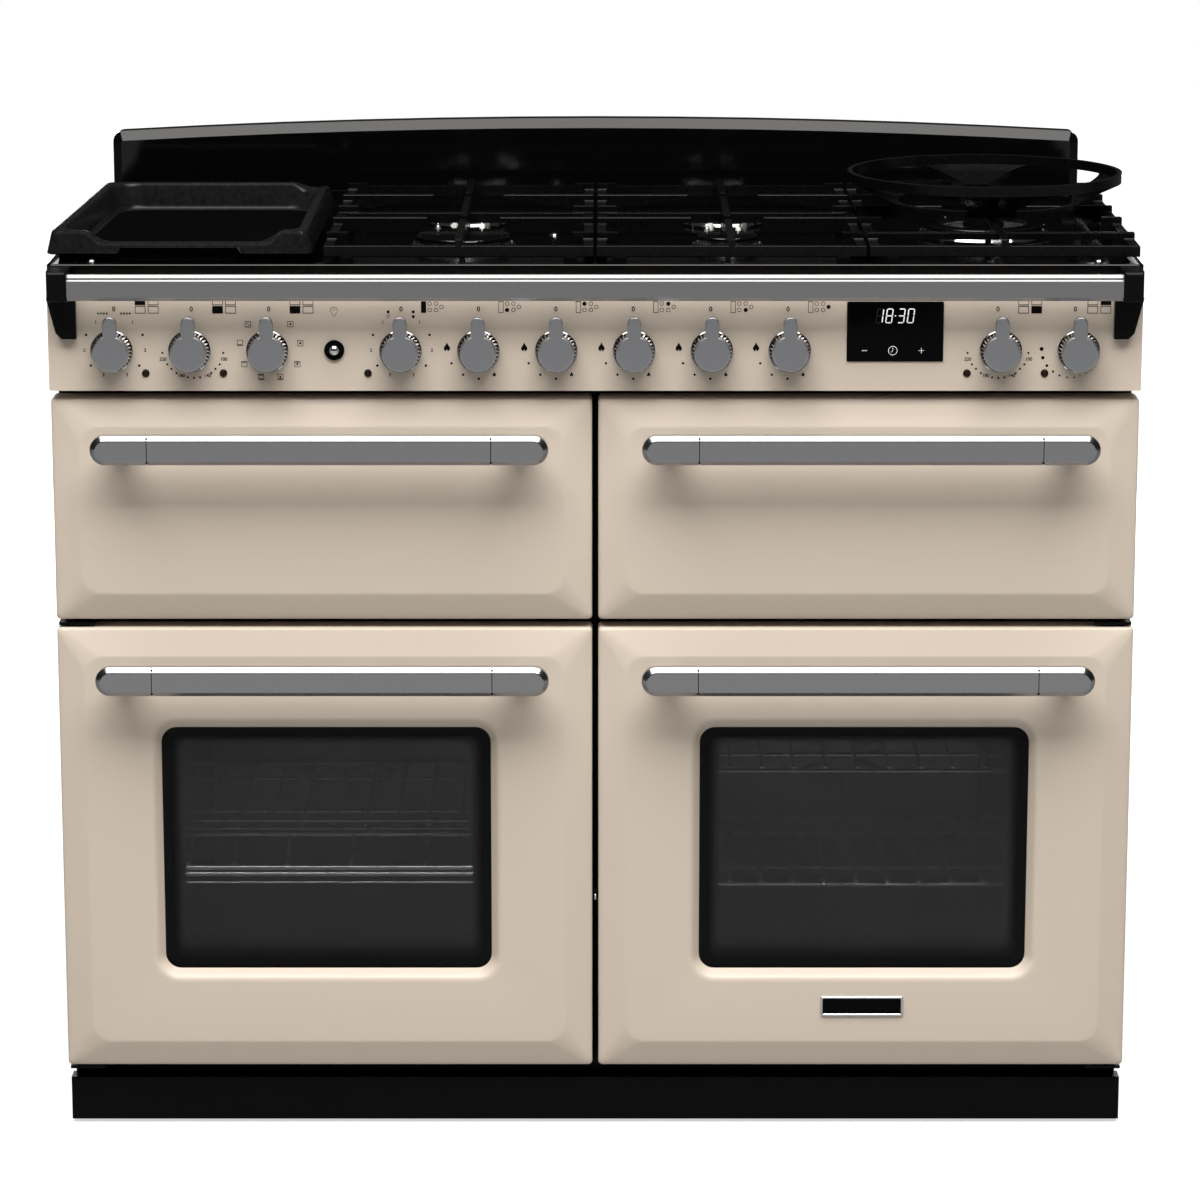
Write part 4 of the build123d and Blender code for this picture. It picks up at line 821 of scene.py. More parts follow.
class COOKER_OT_light_button(bpy.types.Operator):
    """Domed chrome light button, its bezel and the neon lenses"""

    bl_idname = "cooker.light_button"
    bl_label = "Light button and lenses"

    dome_height = 0.0052
    lens_radius = 0.0030
    lens_seat = 0.0014
    lens_height = 0.0009

    def execute(self, context):
        x, z, width, _, face, rear = front_of("light_button")
        radius = width / 2
        dome = [(radius, rear), (radius, face + self.dome_height)]
        dome += [(radius * out, face + self.dome_height * (1 - up)) for out, up in quarter(12)]
        dome.append((0.00008, face))
        mesh = bmesh.new()
        turned(mesh, dome, x, z, 40, 0, True, True)
        piece = piece_from(mesh, "light_button_dome", BODY_OF_NODE["light_button"], ["chrome"])
        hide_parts("light_button")

        collar = (
            (0.0101, -0.0001), (0.0101, 0.0018), (0.0095, 0.0027),
            (0.0080, 0.0030), (0.0066, 0.0024), (0.0060, 0.0012),
        )
        bezel = bmesh.new()
        turned(bezel, [(size, FRONT_Y - lift) for size, lift in collar], x, z, 48)
        piece_from(bezel, "light_button_bezel", "cooker", ["plastic"])

        seat_y = FRONT_Y - self.lens_seat
        seat = [(0.0038, FRONT_Y + 0.0001), (0.0038, FRONT_Y - 0.0011), (self.lens_radius, seat_y)]
        cap = [(self.lens_radius, seat_y)]
        cap += [(self.lens_radius * out, seat_y - self.lens_height * up) for out, up in quarter(6)]
        cap.append((0.00005, seat_y - self.lens_height))
        lenses = bmesh.new()
        for lens_x, lens_z in lens_places():
            turned(lenses, seat, lens_x, lens_z, 28, 1)
            turned(lenses, cap, lens_x, lens_z, 28, 0, False, True)
        piece_from(lenses, "neon_lenses", "cooker", ["lens", "plastic"])
        return {"FINISHED"}


PRINT_SHRINK = 0.0062
PRINT_MIDDLE = -0.090
LENS_SIDES = {"grill": 1, "left_oven": 1, "griddle": -1, "right_oven": -1, "slow_cook": -1}
LENS_OUT = 0.033
LENS_DOWN = 0.023


def knob_centre(name):
    """Axis of a knob on the fascia."""
    low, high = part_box("knob_" + name)
    return (low.x + high.x) / 2, low.z + (high.x - low.x) / 2


def dial_centre(name):
    """Middle of the marks printed round a knob, which lie a little nearer to the cooker's middle."""
    x, z = knob_centre(name)
    return x - PRINT_SHRINK * (x - PRINT_MIDDLE), z


def lens_places():
    """Centres of the neon lenses beside the electric dials."""
    places = []
    for name, side in LENS_SIDES.items():
        x, z = knob_centre(name)
        places.append((x + side * LENS_OUT, z - LENS_DOWN))
    return places


class Ink:
    """Flat marks on an upright surface, drawn in millimetres from a chosen point into one mesh."""

    flame_shape = (
        (-0.30, -0.50), (-0.46, -0.20), (-0.40, 0.10), (-0.12, 0.62), (0.0, 1.0),
        (0.16, 0.55), (0.42, 0.10), (0.46, -0.22), (0.30, -0.50), (0.10, -0.62),
        (0.08, -0.40), (0.0, -0.28), (-0.08, -0.40), (-0.10, -0.62),
    )
    numeral_share = 0.69
    numeral_weight = 0.032

    def __init__(self, y):
        self.mesh = bmesh.new()
        self.y = y

    def start_at(self, x, z):
        """Sets the point that the next marks are measured from."""
        self.x, self.z = x, z

    def shape(self, points):
        """Filled outline."""
        places = [(self.x + x * MM, self.y, self.z + z * MM) for x, z in points]
        self.mesh.faces.new([self.mesh.verts.new(place) for place in places])

    def dot(self, x, z, radius, count=16):
        """Filled circle."""
        self.shape([(x + a, z + b) for a, b in circle(radius, count)])

    def rect(self, x0, z0, x1, z1):
        """Filled rectangle."""
        self.shape([(x0, z0), (x1, z0), (x1, z1), (x0, z1)])

    def frame(self, x0, z0, x1, z1, line):
        """Outlined rectangle."""
        self.rect(x0, z0, x1, z0 + line)
        self.rect(x0, z1 - line, x1, z1)
        self.rect(x0, z0 + line, x0 + line, z1 - line)
        self.rect(x1 - line, z0 + line, x1, z1 - line)

    def ring(self, x, z, radius, line, count=24, start=0.0, sweep=360.0):
        """Outlined circle, or an arc of one."""
        for i in range(count):
            quad = []
            for size, step in ((radius, i), (radius, i + 1), (radius - line, i + 1), (radius - line, i)):
                angle = math.radians(start + sweep * step / count)
                quad.append((x + size * math.cos(angle), z + size * math.sin(angle)))
            self.shape(quad)

    def line(self, x0, z0, x1, z1, width):
        """Straight stroke."""
        along = Vector((x1 - x0, z1 - z0)).normalized()
        dx, dz = -along.y * width / 2, along.x * width / 2
        self.shape([(x0 + dx, z0 + dz), (x0 - dx, z0 - dz), (x1 - dx, z1 - dz), (x1 + dx, z1 + dz)])

    def flame(self, x, z, size):
        """Flame with a pointed top and a notch in its foot."""
        self.shape([(x + dx * size * 0.62, z + dz * size * 0.5) for dx, dz in self.flame_shape])

    def text(self, words, x, z, height):
        """Numerals set as flat type, centred on a point."""
        curve = bpy.data.curves.new("numeral", "FONT")
        curve.body = words
        curve.size = height * MM / self.numeral_share
        curve.align_x = "CENTER"
        curve.align_y = "CENTER"
        curve.offset = height * MM * self.numeral_weight
        holder = bpy.data.objects.new("numeral", curve)
        bpy.context.scene.collection.objects.link(holder)
        bpy.context.view_layer.update()
        flat = bpy.data.meshes.new_from_object(holder)
        place = Matrix.Translation((self.x + x * MM, self.y, self.z + z * MM))
        flat.transform(place @ Matrix.Rotation(math.pi / 2, 4, "X"))
        self.mesh.from_mesh(flat)
        bpy.data.meshes.remove(flat)
        bpy.data.objects.remove(holder)
        bpy.data.curves.remove(curve)

    def build(self, name, slot, key):
        """Turns every mark to the front and sets the print on the cooker."""
        for face in self.mesh.faces:
            face.normal_update()
            if face.normal.y > 0:
                face.normal_flip()
        return settle(self.mesh, name, "cooker", [key])


TWO_WAY_MARKS = (("1", 18.3, 28.2), ("2", 30.4, 0.0), ("3", 11.8, -24.8))
TWO_WAY_DOTS = ((28.2, 15.6), (24.2, -15.4))
HEAT_MARKS = (("220", -29.2, -9.0), ("180", -11.0, -25.6), ("140", 15.0, -25.6), ("100", 31.6, -9.0))
HEAT_DOTS = (
    (-29.6, -2.6), (-25.0, -14.2), (-20.9, -18.7), (-15.9, -23.0), (-4.6, -27.3), (1.6, -27.9),
    (7.6, -27.3), (18.9, -23.0), (23.1, -18.7), (27.4, -14.2), (31.2, -2.6),
)
SLOW_DOTS = (
    (-32.8, 1.4, 2.0), (-31.4, -7.4, 1.7), (-27.2, -15.4, 1.45), (-21.0, -21.5, 1.25),
    (-14.4, -25.4, 1.1), (-6.8, -27.3, 0.95), (0.2, -27.3, 0.85), (6.2, -25.8, 0.7),
    (12.0, -23.4, 0.6), (17.0, -19.9, 0.5), (20.2, -16.6, 0.4),
)
FUNCTION_PLACES = (
    (-20.9, 26.4), (21.5, 26.4), (-29.1, 7.6), (31.1, 7.2),
    (-25.1, -13.9), (27.9, -13.9), (-8.5, -26.9), (10.7, -26.9),
)
GAS_DOTS = ((-27.3, -13.1), (-15.7, -24.6), (0.0, -28.7))
OVEN_ICONS = (
    ("grill", (0, 1), 0.0), ("left_oven", (0, 0), 0.0), ("function", (0, 0), 0.0),
    ("right_oven", (1, 0), -0.8), ("slow_cook", (1, 1), -9.0),
)
BURNER_ICON = ((28.5, 47.0), (34.9, 47.0), (28.5, 40.7), (34.9, 40.7), (40.3, 43.8))
BURNER_OF_KNOB = (2, 0, 1, 3, 4)
GRIDDLE_ICON = -1


class COOKER_OT_prints(bpy.types.Operator):
    """Printed dial marks, numerals and pictograms on the fascia"""

    bl_idname = "cooker.prints"
    bl_label = "Dial prints"

    numeral = 3.3
    zero_height = 4.6
    zero_up = 41.4
    bulb_up = 38.6

    def execute(self, context):
        y = FRONT_Y - context.scene.cooker_sizes.print_lift
        self.ink, self.fine = Ink(y), Ink(y)
        for node in KNOBS:
            self.start_at(*dial_centre(node.removeprefix("knob_")))
            self.ink.text("0", 0.0, self.zero_up, self.zero_height)
        for name in ("grill", "griddle"):
            self.two_way(name)
        for name in ("left_oven", "right_oven"):
            self.heat(name)
        self.functions()
        self.start_at(*dial_centre("slow_cook"))
        for x, z, radius in SLOW_DOTS:
            self.ink.dot(x, z, radius)
        self.element_marks()
        for name, filled, shift in OVEN_ICONS:
            self.oven_icon(name, filled, shift)
        self.burner_icon("griddle", GRIDDLE_ICON)
        for name, filled in zip(GAS_KNOBS, BURNER_OF_KNOB):
            self.burner_icon(name, filled)
            self.gas_marks()
        self.bulb()
        self.ink.build("dial_prints", "cream_enamel", "ink")
        self.fine.build("dial_outlines", "cream_enamel", "ink_grey")
        return {"FINISHED"}

    def start_at(self, x, z):
        """Measures the next marks of both inks from one point."""
        for ink in (self.ink, self.fine):
            ink.start_at(x, z)

    def two_way(self, name):
        """Heats one to three on both sides of the dial."""
        self.start_at(*dial_centre(name))
        for words, x, z in TWO_WAY_MARKS:
            for side in (-1, 1):
                self.ink.text(words, side * x, z, self.numeral)
        for x, z in TWO_WAY_DOTS:
            for side in (-1, 1):
                self.ink.dot(side * x, z, 1.30)

    def heat(self, name):
        """Oven temperatures with dots between them."""
        self.start_at(*dial_centre(name))
        for words, x, z in HEAT_MARKS:
            self.ink.text(words, x, z, self.numeral)
        for x, z in HEAT_DOTS:
            self.ink.dot(x, z, 1.10)

    def functions(self):
        """Small oven signs round the function dial: fan dot, lower bar, upper bar or a stroke."""
        self.start_at(*dial_centre("function"))
        ink, half, line = self.ink, 3.0, 0.55
        wide, near, far = half * 0.7, half * 0.5, half * 0.75
        for place, (x, z) in enumerate(FUNCTION_PLACES):
            ink.frame(x - half, z - half, x + half, z + half, line)
            if place in (1, 3, 5, 7):
                ink.dot(x, z, 1.1)
            if place in (2, 6, 7):
                ink.rect(x - wide, z - far, x + wide, z - near)
            if place in (4, 5, 6):
                ink.rect(x - wide, z + near, x + wide, z + far)
            if place == 0:
                ink.line(x - near, z + near, x + near, z - near, line)

    def element_marks(self):
        """Signs for half and full heat over the grill and griddle dials."""
        self.start_at(*dial_centre("grill"))
        half, level = 1.3, 36.7
        for start in (-15.8, 7.2):
            for place in range(4):
                ink = self.ink if place > 1 or start > 0 else self.fine
                x = start + 2.9 * place
                ink.shape([(x - half, level + half), (x, level - half), (x + half, level + half)])
        self.start_at(*dial_centre("griddle"))
        self.ink.dot(-12.9, 38.8, 1.5)
        self.fine.ring(-12.9, 34.4, 1.6, 0.45)
        self.ink.dot(12.1, 38.8, 1.5)
        self.ink.dot(12.1, 34.0, 1.5)

    def oven_icon(self, name, filled, shift):
        """Four compartments, with the dial's own one filled."""
        self.start_at(*dial_centre(name))
        width, height, line = 10.6, 7.5, 0.65
        for column in (0, 1):
            for row in (0, 1):
                x, z = 21.0 + 13.0 * column + shift, 37.2 + 8.4 * row
                if (column, row) == filled:
                    self.ink.rect(x, z, x + width, z + height)
                else:
                    self.fine.frame(x, z, x + width, z + height, line)

    def burner_icon(self, name, filled):
        """Plan of the hob, with the dial's own burner or the griddle filled."""
        self.start_at(*dial_centre(name))
        line = 0.6
        griddle = (19.9, 37.8, 25.0, 49.4)
        if filled == GRIDDLE_ICON:
            self.ink.rect(*griddle)
        else:
            self.fine.frame(*griddle, line)
        for place, (x, z) in enumerate(BURNER_ICON):
            if place == filled:
                self.ink.dot(x, z, 2.1, 20)
            else:
                self.fine.ring(x, z, 2.15, line, 20)

    def gas_marks(self):
        """Large and small flame with dots between them."""
        self.ink.flame(-31.7, 2.6, 11.4)
        self.ink.flame(15.5, -24.6, 6.2)
        for x, z in GAS_DOTS:
            self.ink.dot(x, z, 1.25)

    def bulb(self):
        """Lamp sign over the light button."""
        x, z, *_ = front_of("light_button")
        self.start_at(x, z + self.bulb_up * MM)
        line = 0.45
        self.fine.ring(0.0, 1.2, 3.7, line, 24, -50.0, 280.0)
        for side in (-1, 1):
            self.fine.line(side * 2.2, -1.7, side * 0.9, -4.0, line)
        self.fine.line(-1.1, -4.2, 1.1, -4.2, 0.5)
        self.fine.line(-0.4, 0.6, 1.2, 2.6, 0.4)


SEGMENTS = {"0": "abcdef", "1": "bc", "3": "abcdg", "8": "abcdefg"}
UNLIT_SEGMENTS = "adefg"


class COOKER_OT_clock(bpy.types.Operator):
    """Clock panel: gloss face with lit digits and touch icons"""

    bl_idname = "cooker.clock"
    bl_label = "Clock panel"

    panel_up = 0.060
    panel_width = 0.096
    panel_height = 0.060
    panel_lift = 0.0012
    digit_pitch = 9.4
    colon_gap = 2.6
    digits_left = -15.4
    digits_up = 16.0
    icons_left = -2.2
    icons_up = -19.0

    def execute(self, context):
        x = (knob_centre("wok")[0] + knob_centre("right_oven")[0]) / 2
        z = FASCIA_LOW.z + self.panel_up
        face = FRONT_Y - self.panel_lift
        profile = (
            (-0.0002, FRONT_Y), (-0.0002, face + 0.0004), (0.0003, face - 0.0002), (0.0012, face - 0.0003),
        )
        mesh = bmesh.new()
        skin(mesh, stepped(x, z, self.panel_width, self.panel_height, 0.0022, 6, profile), last=True)
        piece_from(mesh, "clock_glass", "cooker", ["plastic"])
        front = face - 0.0003 - context.scene.cooker_sizes.print_lift
        lit, ghost, icons = Ink(front), Ink(front), Ink(front)
        lit.start_at(x, z + self.digits_up * MM)
        for place, number in enumerate("1830"):
            shift = self.digit_pitch * place + (self.colon_gap if place > 1 else 0.0)
            self.digit(lit, self.digits_left + shift, SEGMENTS[number])
        lit.rect(-0.6, -0.6, 0.6, 0.6)
        lit.build("clock_digits", "black_plastic", "lit")
        ghost.start_at(x, z + self.digits_up * MM)
        self.digit(ghost, self.digits_left - 0.3, UNLIT_SEGMENTS)
        ghost.build("clock_unlit", "black_plastic", "ghost")
        icons.start_at(x + self.icons_left * MM, z + self.icons_up * MM)
        self.touch_icons(icons)
        icons.build("clock_icons", "black_plastic", "lit_dim")
        return {"FINISHED"}

    def digit(self, ink, x, segments):
        """Slanted seven-segment digit."""
        half, tall, width = 2.9, 6.9, 1.05
        lean = 0.12
        short_x, short_z = 0.07, 0.06
        ends = {
            "a": ((-half, tall), (half, tall)),
            "b": ((half, tall), (half, 0.0)),
            "c": ((half, 0.0), (half, -tall)),
            "d": ((-half, -tall), (half, -tall)),
            "e": ((-half, 0.0), (-half, -tall)),
            "f": ((-half, tall), (-half, 0.0)),
            "g": ((-half, 0.0), (half, 0.0)),
        }
        for key in segments:
            (x0, z0), (x1, z1) = ends[key]
            dx, dz = (x1 - x0) * short_x, (z1 - z0) * short_z
            x0, z0, x1, z1 = x0 + dx, z0 + dz, x1 - dx, z1 - dz
            ink.line(x + x0 + z0 * lean, z0, x + x1 + z1 * lean, z1, width)

    def touch_icons(self, icons):
        """Minus, clock face and plus."""
        thin, hand = 0.25, 0.45
        icons.rect(-31.0, -thin, -25.6, thin)
        icons.rect(25.8, -thin, 31.2, thin)
        icons.rect(28.5 - thin, -2.7, 28.5 + thin, -thin)
        icons.rect(28.5 - thin, thin, 28.5 + thin, 2.7)
        icons.ring(0.0, 0.0, 4.6, 0.5, 32)
        icons.line(0.0, 0.0, 0.0, 2.8, hand)
        icons.line(0.0, 0.0, -1.8, -1.6, hand)


class COOKER_OT_badge(bpy.types.Operator):
    """Blank plate on the right oven door and the bright tip of the door catch"""

    bl_idname = "cooker.badge"
    bl_label = "Blank plate and catch"

    plate_place = (0.2747, 0.1344)
    plate_size = (0.0855, 0.0214)
    tip_place = (0.0, 0.2474)
    tip_size = (0.0018, 0.0060)
    catch_depth = 0.014

    def execute(self, context):
        door_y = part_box("right_door_panel")[0].y
        framed = ((0.0, -0.0002), (0.0, 0.0012), (0.0005, 0.0018), (0.0021, 0.0018), (0.0026, 0.0012))
        profile = [(inset, door_y - lift) for inset, lift in framed]
        rings = stepped(*self.plate_place, *self.plate_size, 0.0024, 6, profile, -0.4)
        mesh = bmesh.new()
        skin(mesh, rings, first=True)
        skin(mesh, rings[-1:], last=True, material=1)
        body = BODY_OF_NODE["right_door_panel"]
        piece_from(mesh, "blank_plate", body, ["chrome", "plastic"], 15.0)
        catch_y = FRONT_Y + self.catch_depth
        raised = ((0.0, -0.0002), (0.0, 0.0006), (0.0004, 0.0010))
        profile = [(inset, catch_y - lift) for inset, lift in raised]
        tip = bmesh.new()
        skin(tip, stepped(*self.tip_place, *self.tip_size, 0.0006, 3, profile), first=True, last=True)
        piece_from(tip, "catch_tip", "cooker", ["chrome"], 15.0)
        return {"FINISHED"}


class COOKER_OT_windows(bpy.types.Operator):
    """Black printed borders and smoky film behind the oven glass"""

    bl_idname = "cooker.windows"
    bl_label = "Window borders"

    glass_depth = 0.0043
    print_width = 0.024
    print_thickness = 0.0006
    fade_steps = (0.0013, 0.0019, 0.0038)

    def execute(self, context):
        for side in ("left", "right"):
            self.dress(side)
        return {"FINISHED"}

    def dress(self, side):
        """Border, fading dot print and film of one window; the dot fade also stands in as painted shade
        along the window's inner edges.
        """
        node = side + "_door_glass"
        body = BODY_OF_NODE[node]
        x, z, width, height, face, _ = front_of(node)
        y = face + self.glass_depth
        outer = rounded_outline(x, z, width - 0.001, height - 0.001, 0.004, 8)
        inner = rounded_outline(x, z, width - 2 * self.print_width, height - 2 * self.print_width, 0.010, 8)
        back = y + self.print_thickness
        mesh = bmesh.new()
        skin(mesh, [ring_at(outer, y), ring_at(inner, y), ring_at(inner, back), ring_at(outer, back)])
        piece_from(mesh, side + "_window_border", body, ["frit"])
        rings = []
        # Dot rings whose cover falls off inward: frit print that also serves as painted shade at the
        # window's edges.
        for step in range(len(DOT_COVERS) + 1):
            top, flank, foot = (self.print_width + step * grow for grow in self.fade_steps)
            middle = z + (foot - top) / 2
            outline = rounded_outline(x, middle, width - 2 * flank, height - top - foot, 0.010, 8)
            rings.append(ring_at(outline, y + 0.0003))
        fade = bmesh.new()
        for index in range(len(DOT_COVERS)):
            skin(fade, rings[index:index + 2], material=index)
        shades = [f"dots_{index}" for index in range(1, len(DOT_COVERS) + 1)]
        dots = piece_from(fade, side + "_window_fade", body, shades)
        film = bmesh.new()
        skin(film, [ring_at(outer, y + 0.0009)], last=True)
        sheet = piece_from(film, side + "_window_film", body, ["film"])
        for pane in (dots, sheet, NODES[node]):
            pane.visible_shadow = False
            pane.visible_glossy = False
            pane.visible_diffuse = False


class COOKER_OT_rack(bpy.types.Operator):
    """Wire rack on the inside of the left oven door"""

    bl_idname = "cooker.rack"
    bl_label = "Door rack"

    levels = {"upper": 0.2703, "lower": 0.2636, "foot": 0.2544, "shelf": 0.2885, "back": 0.3035}
    cross_wires = (-0.4205, -0.3740, -0.3185, -0.2525, -0.1765)
    foot_inset = 0.018

    def execute(self, context):
        low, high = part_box("left_door_rack")
        thick, thin, fine = 0.0025, 0.0018, 0.0011
        front, rear = low.y + 0.005, high.y - thick
        middle = (low.x + high.x) / 2
        reach = (high.x - low.x) / 2 - thick
        upper, shelf = self.levels["upper"], self.levels["shelf"]
        foot, back = self.levels["foot"], self.levels["back"]
        mesh = bmesh.new()
        for name, y, radius in (
            ("upper", front, thick), ("lower", front, thick), ("foot", front, fine),
            ("shelf", rear, thick), ("back", rear, thin),
        ):
            z = self.levels[name]
            self.wire(mesh, (low.x, y, z), (high.x, y, z), radius)
        for x in self.cross_wires:
            self.wire(mesh, (x, front, upper + 0.003), (x, rear, shelf), thin)
        for end in (-1, 1):
            x = middle + end * reach
            self.wire(mesh, (x, front, upper), (x, rear, shelf), thin)
            self.wire(mesh, (x, front, foot), (x, front, upper), thin)
            self.wire(mesh, (x, rear, shelf), (x, rear, back), thin)
            foot_x = middle + end * (reach - self.foot_inset)
            for z in (self.levels["lower"], foot):
                self.wire(mesh, (foot_x, low.y, z), (foot_x, front, z), thin)
        piece = piece_from(mesh, "left_door_rack_wire", BODY_OF_NODE["left_door_rack"], ["wire"])
        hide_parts("left_door_rack")
        return {"FINISHED"}

    def wire(self, mesh, start, end, radius):
        """Straight round wire between two points."""
        start, end = Vector(start), Vector(end)
        along = (end - start).normalized()
        across = along.orthogonal().normalized()
        other = along.cross(across)
        round_wire = circle(radius, 12)
        rings = [[place + across * a + other * b for a, b in round_wire] for place in (start, end)]
        skin(mesh, rings, True, True)


class COOKER_OT_griddle(bpy.types.Operator):
    """Cast griddle: rounded well, dipped front wall and a pouring lip"""

    bl_idname = "cooker.griddle"
    bl_label = "Griddle"

    width = 0.265
    rear_taper = 0.015
    draft = 0.0045
    wall = 0.0145
    foot_height = 0.017
    floor_drop = 0.0047
    foot_radius = 0.008
    foot_spread = 0.0975
    foot_inset = 0.020
    dip_middle = 0.128
    half_dip = 0.083
    dip_ramp = 0.016
    dip_depth = 0.012
    half_notch = 0.060
    notch_height = 0.006
    lip_inset = 0.020
    lip_reach = 0.016
    lip_depth = 0.007
    front_zone = 0.024

    def execute(self, context):
        self.low, self.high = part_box("griddle")
        self.middle = self.high.x - self.width / 2
        base, top = self.low.z + self.foot_height, self.high.z
        floor = base - self.floor_drop
        draft, wall = self.draft, self.wall
        lean = draft / (top - base)
        rings = [
            self.ring(0.0105, 0.010, floor - 0.0030),
            self.ring(0.0085, 0.010, base),
            self.ring(0.0012, 0.008, base, notched=True),
            self.ring(0.0, 0.008, base + 0.0012, notched=True),
            self.ring(draft - 0.0006, 0.008, top - 0.0042, lean),
            self.ring(draft - 0.0003, 0.008, top - 0.0030, lean),
            self.ring(draft + 0.0006, 0.008, top - 0.0009, lean),
            self.ring(draft + 0.0026, 0.009, top, lean),
            self.ring(wall - 0.0026, 0.024, top, -lean),
            self.ring(wall - 0.0006, 0.027, top - 0.0009, -lean),
            self.ring(wall + 0.0003, 0.028, top - 0.0030, -lean),
            self.ring(wall + 0.0006, 0.028, top - 0.0042, -lean),
            self.ring(wall + 0.0038, 0.030, floor + 0.0052),
            self.ring(wall + 0.0040, 0.030, floor + 0.0040),
            self.ring(wall + 0.0054, 0.030, floor + 0.0014),
            self.ring(wall + 0.0080, 0.030, floor),
        ]
        mesh = bmesh.new()
        skin(mesh, rings, first=True)
        # The well floor takes the darker copy of the casting's black: painted shade.
        skin(mesh, rings[-1:], last=True, material=1)
        foot = [(self.foot_radius, self.low.z), (self.foot_radius, floor - 0.002)]
        for x in (self.middle - self.foot_spread, self.middle + self.foot_spread):
            for y in (self.low.y + self.foot_inset, self.high.y - self.foot_inset):
                turned_up(mesh, foot, x, y, 32, 0, True, True)
        body = BODY_OF_NODE["griddle"]
        piece = piece_from(mesh, "griddle_casting", body, ["skirt", "well"], 24.0)
        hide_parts("griddle")
        return {"FINISHED"}

    def ring(self, inset, radius, z, lean=None, notched=False):
        """Outline of the casting at one level, following the dip and the notch where they cut it."""
        left, right = self.high.x - self.width + inset, self.high.x - inset
        front, rear = self.low.y + inset, self.high.y - inset
        corners = ((left, front), (right, front), (right, rear), (left + self.rear_taper, rear))
        points = []
        for x, y in self.rounded(corners, radius, 10, 60):
            level = z
            if lean is not None:
                drop = self.dip(x, y)
                level -= drop
                y -= lean * drop if y < self.low.y + self.front_zone else 0.0
            if notched and y < front + 0.001 and abs(x - self.middle) < self.half_notch:
                level += self.notch_height
            points.append((x, y, level))
        return points

    def dip(self, x, y):
        """How far the rim drops along the front wall and at the rear corner's lip."""
        lip = math.hypot(x - self.high.x + self.lip_inset, y - self.high.y + self.lip_inset)
        drop = self.lip_depth * self.ease(1.6 - lip / self.lip_reach)
        if y < self.low.y + self.front_zone:
            away = abs(x - self.high.x + self.dip_middle)
            drop += self.dip_depth * self.ease((self.half_dip + self.dip_ramp - away) / self.dip_ramp)
        return drop

    def ease(self, share):
        """Smooth step from nought to one."""
        share = min(1.0, max(0.0, share))
        return share * share * (3.0 - 2.0 * share)

    def rounded(self, corners, radius, steps, along):
        """Closed outline with equal arcs at the corners and evenly split sides."""
        arcs = []
        for i, corner in enumerate(corners):
            corner = Vector(corner)
            back = (Vector(corners[i - 1]) - corner).normalized()
            ahead = (Vector(corners[(i + 1) % len(corners)]) - corner).normalized()
            opening = back.angle(ahead) / 2
            centre = corner + (back + ahead).normalized() * (radius / math.sin(opening))
            start = corner + back * (radius / math.tan(opening)) - centre
            end = corner + ahead * (radius / math.tan(opening)) - centre
            begin = math.atan2(start.y, start.x)
            sweep = (math.atan2(end.y, end.x) - begin + math.pi) % (2 * math.pi) - math.pi
            turns = [begin + sweep * step / steps for step in range(steps + 1)]
            arcs.append([centre + Vector((math.cos(turn), math.sin(turn))) * radius for turn in turns])
        points = []
        for i, arc in enumerate(arcs):
            following = arcs[(i + 1) % len(arcs)][0]
            points += arc
            points += [arc[-1].lerp(following, step / along) for step in range(1, along)]
        return points


class COOKER_OT_hob(bpy.types.Operator):
    """Hob details: domed tray screws, burner rims and igniters beside the burners"""

    bl_idname = "cooker.hob"
    bl_label = "Hob details"

    pitch = 0.273
    screw_radius = 0.0045
    rim_inset = 0.0046
    rim_profile = (
        (0.0010, 0.0), (0.0016, 0.0006), (0.0016, 0.0024),
        (-0.0008, 0.0049), (-0.0022, 0.0049), (-0.0022, 0.0041),
    )
    igniter_profile = (
        (0.0030, 0.0), (0.0028, 0.0140), (0.0020, 0.0158),
        (0.0010, 0.0162), (0.0009, 0.0178), (0.0003, 0.0184),
    )
    igniter_angles = (107.0, 62.0)

    def execute(self, context):
        screws = bmesh.new()
        for x in (-0.502, 0.502):
            self.screw(screws, x, FRONT_Y + 0.0125, HOB_FLOOR + 0.010, 0.0036)
        for x, depth in ((-0.0432, 0.284), (-0.0451, 0.450)):
            self.screw(screws, x, FRONT_Y + depth, HOB_FLOOR, 0.0030)
        piece_from(screws, "tray_screws", "cooker", ["chrome"])
        rims, igniters = bmesh.new(), bmesh.new()
        igniter = [(radius, HOB_FLOOR + up) for radius, up in self.igniter_profile]
        for x, depth, reach in self.burners():
            y = FRONT_Y + depth
            rim = [(reach - self.rim_inset + out, HOB_FLOOR + up) for out, up in self.rim_profile]
            turned_up(rims, rim, x, y, 72)
            turn = 180.0 if x > 0.3 or depth < 0.2 else 0.0
            for index, start in enumerate(self.igniter_angles):
                angle = math.radians(start + turn)
                place = (x + reach * math.cos(angle), y - reach * math.sin(angle))
                turned_up(igniters, igniter, *place, 16, index, False, True)
        piece_from(rims, "burner_rims", "cooker", ["chrome"])
        piece_from(igniters, "igniters", "cooker", ["white", "wire"])
        return {"FINISHED"}

    def burners(self):
        """Place across, depth from the front and igniter radius of each burner."""
        near = self.pitch / 2
        return (
            (-near, 0.190, 0.0600), (-near, 0.373, 0.0455), (near, 0.373, 0.0470),
            (near, 0.190, 0.0425), (3 * near, 0.281, 0.0750),
        )

    def screw(self, mesh, x, y, z, height):
        """Domed screw head."""
        profile = [(self.screw_radius, z)]
        profile += [(self.screw_radius * out, z + height * up) for out, up in quarter(8)]
        profile.append((0.0001, z + height))
        turned_up(mesh, profile, x, y, 28, 0, False, True)


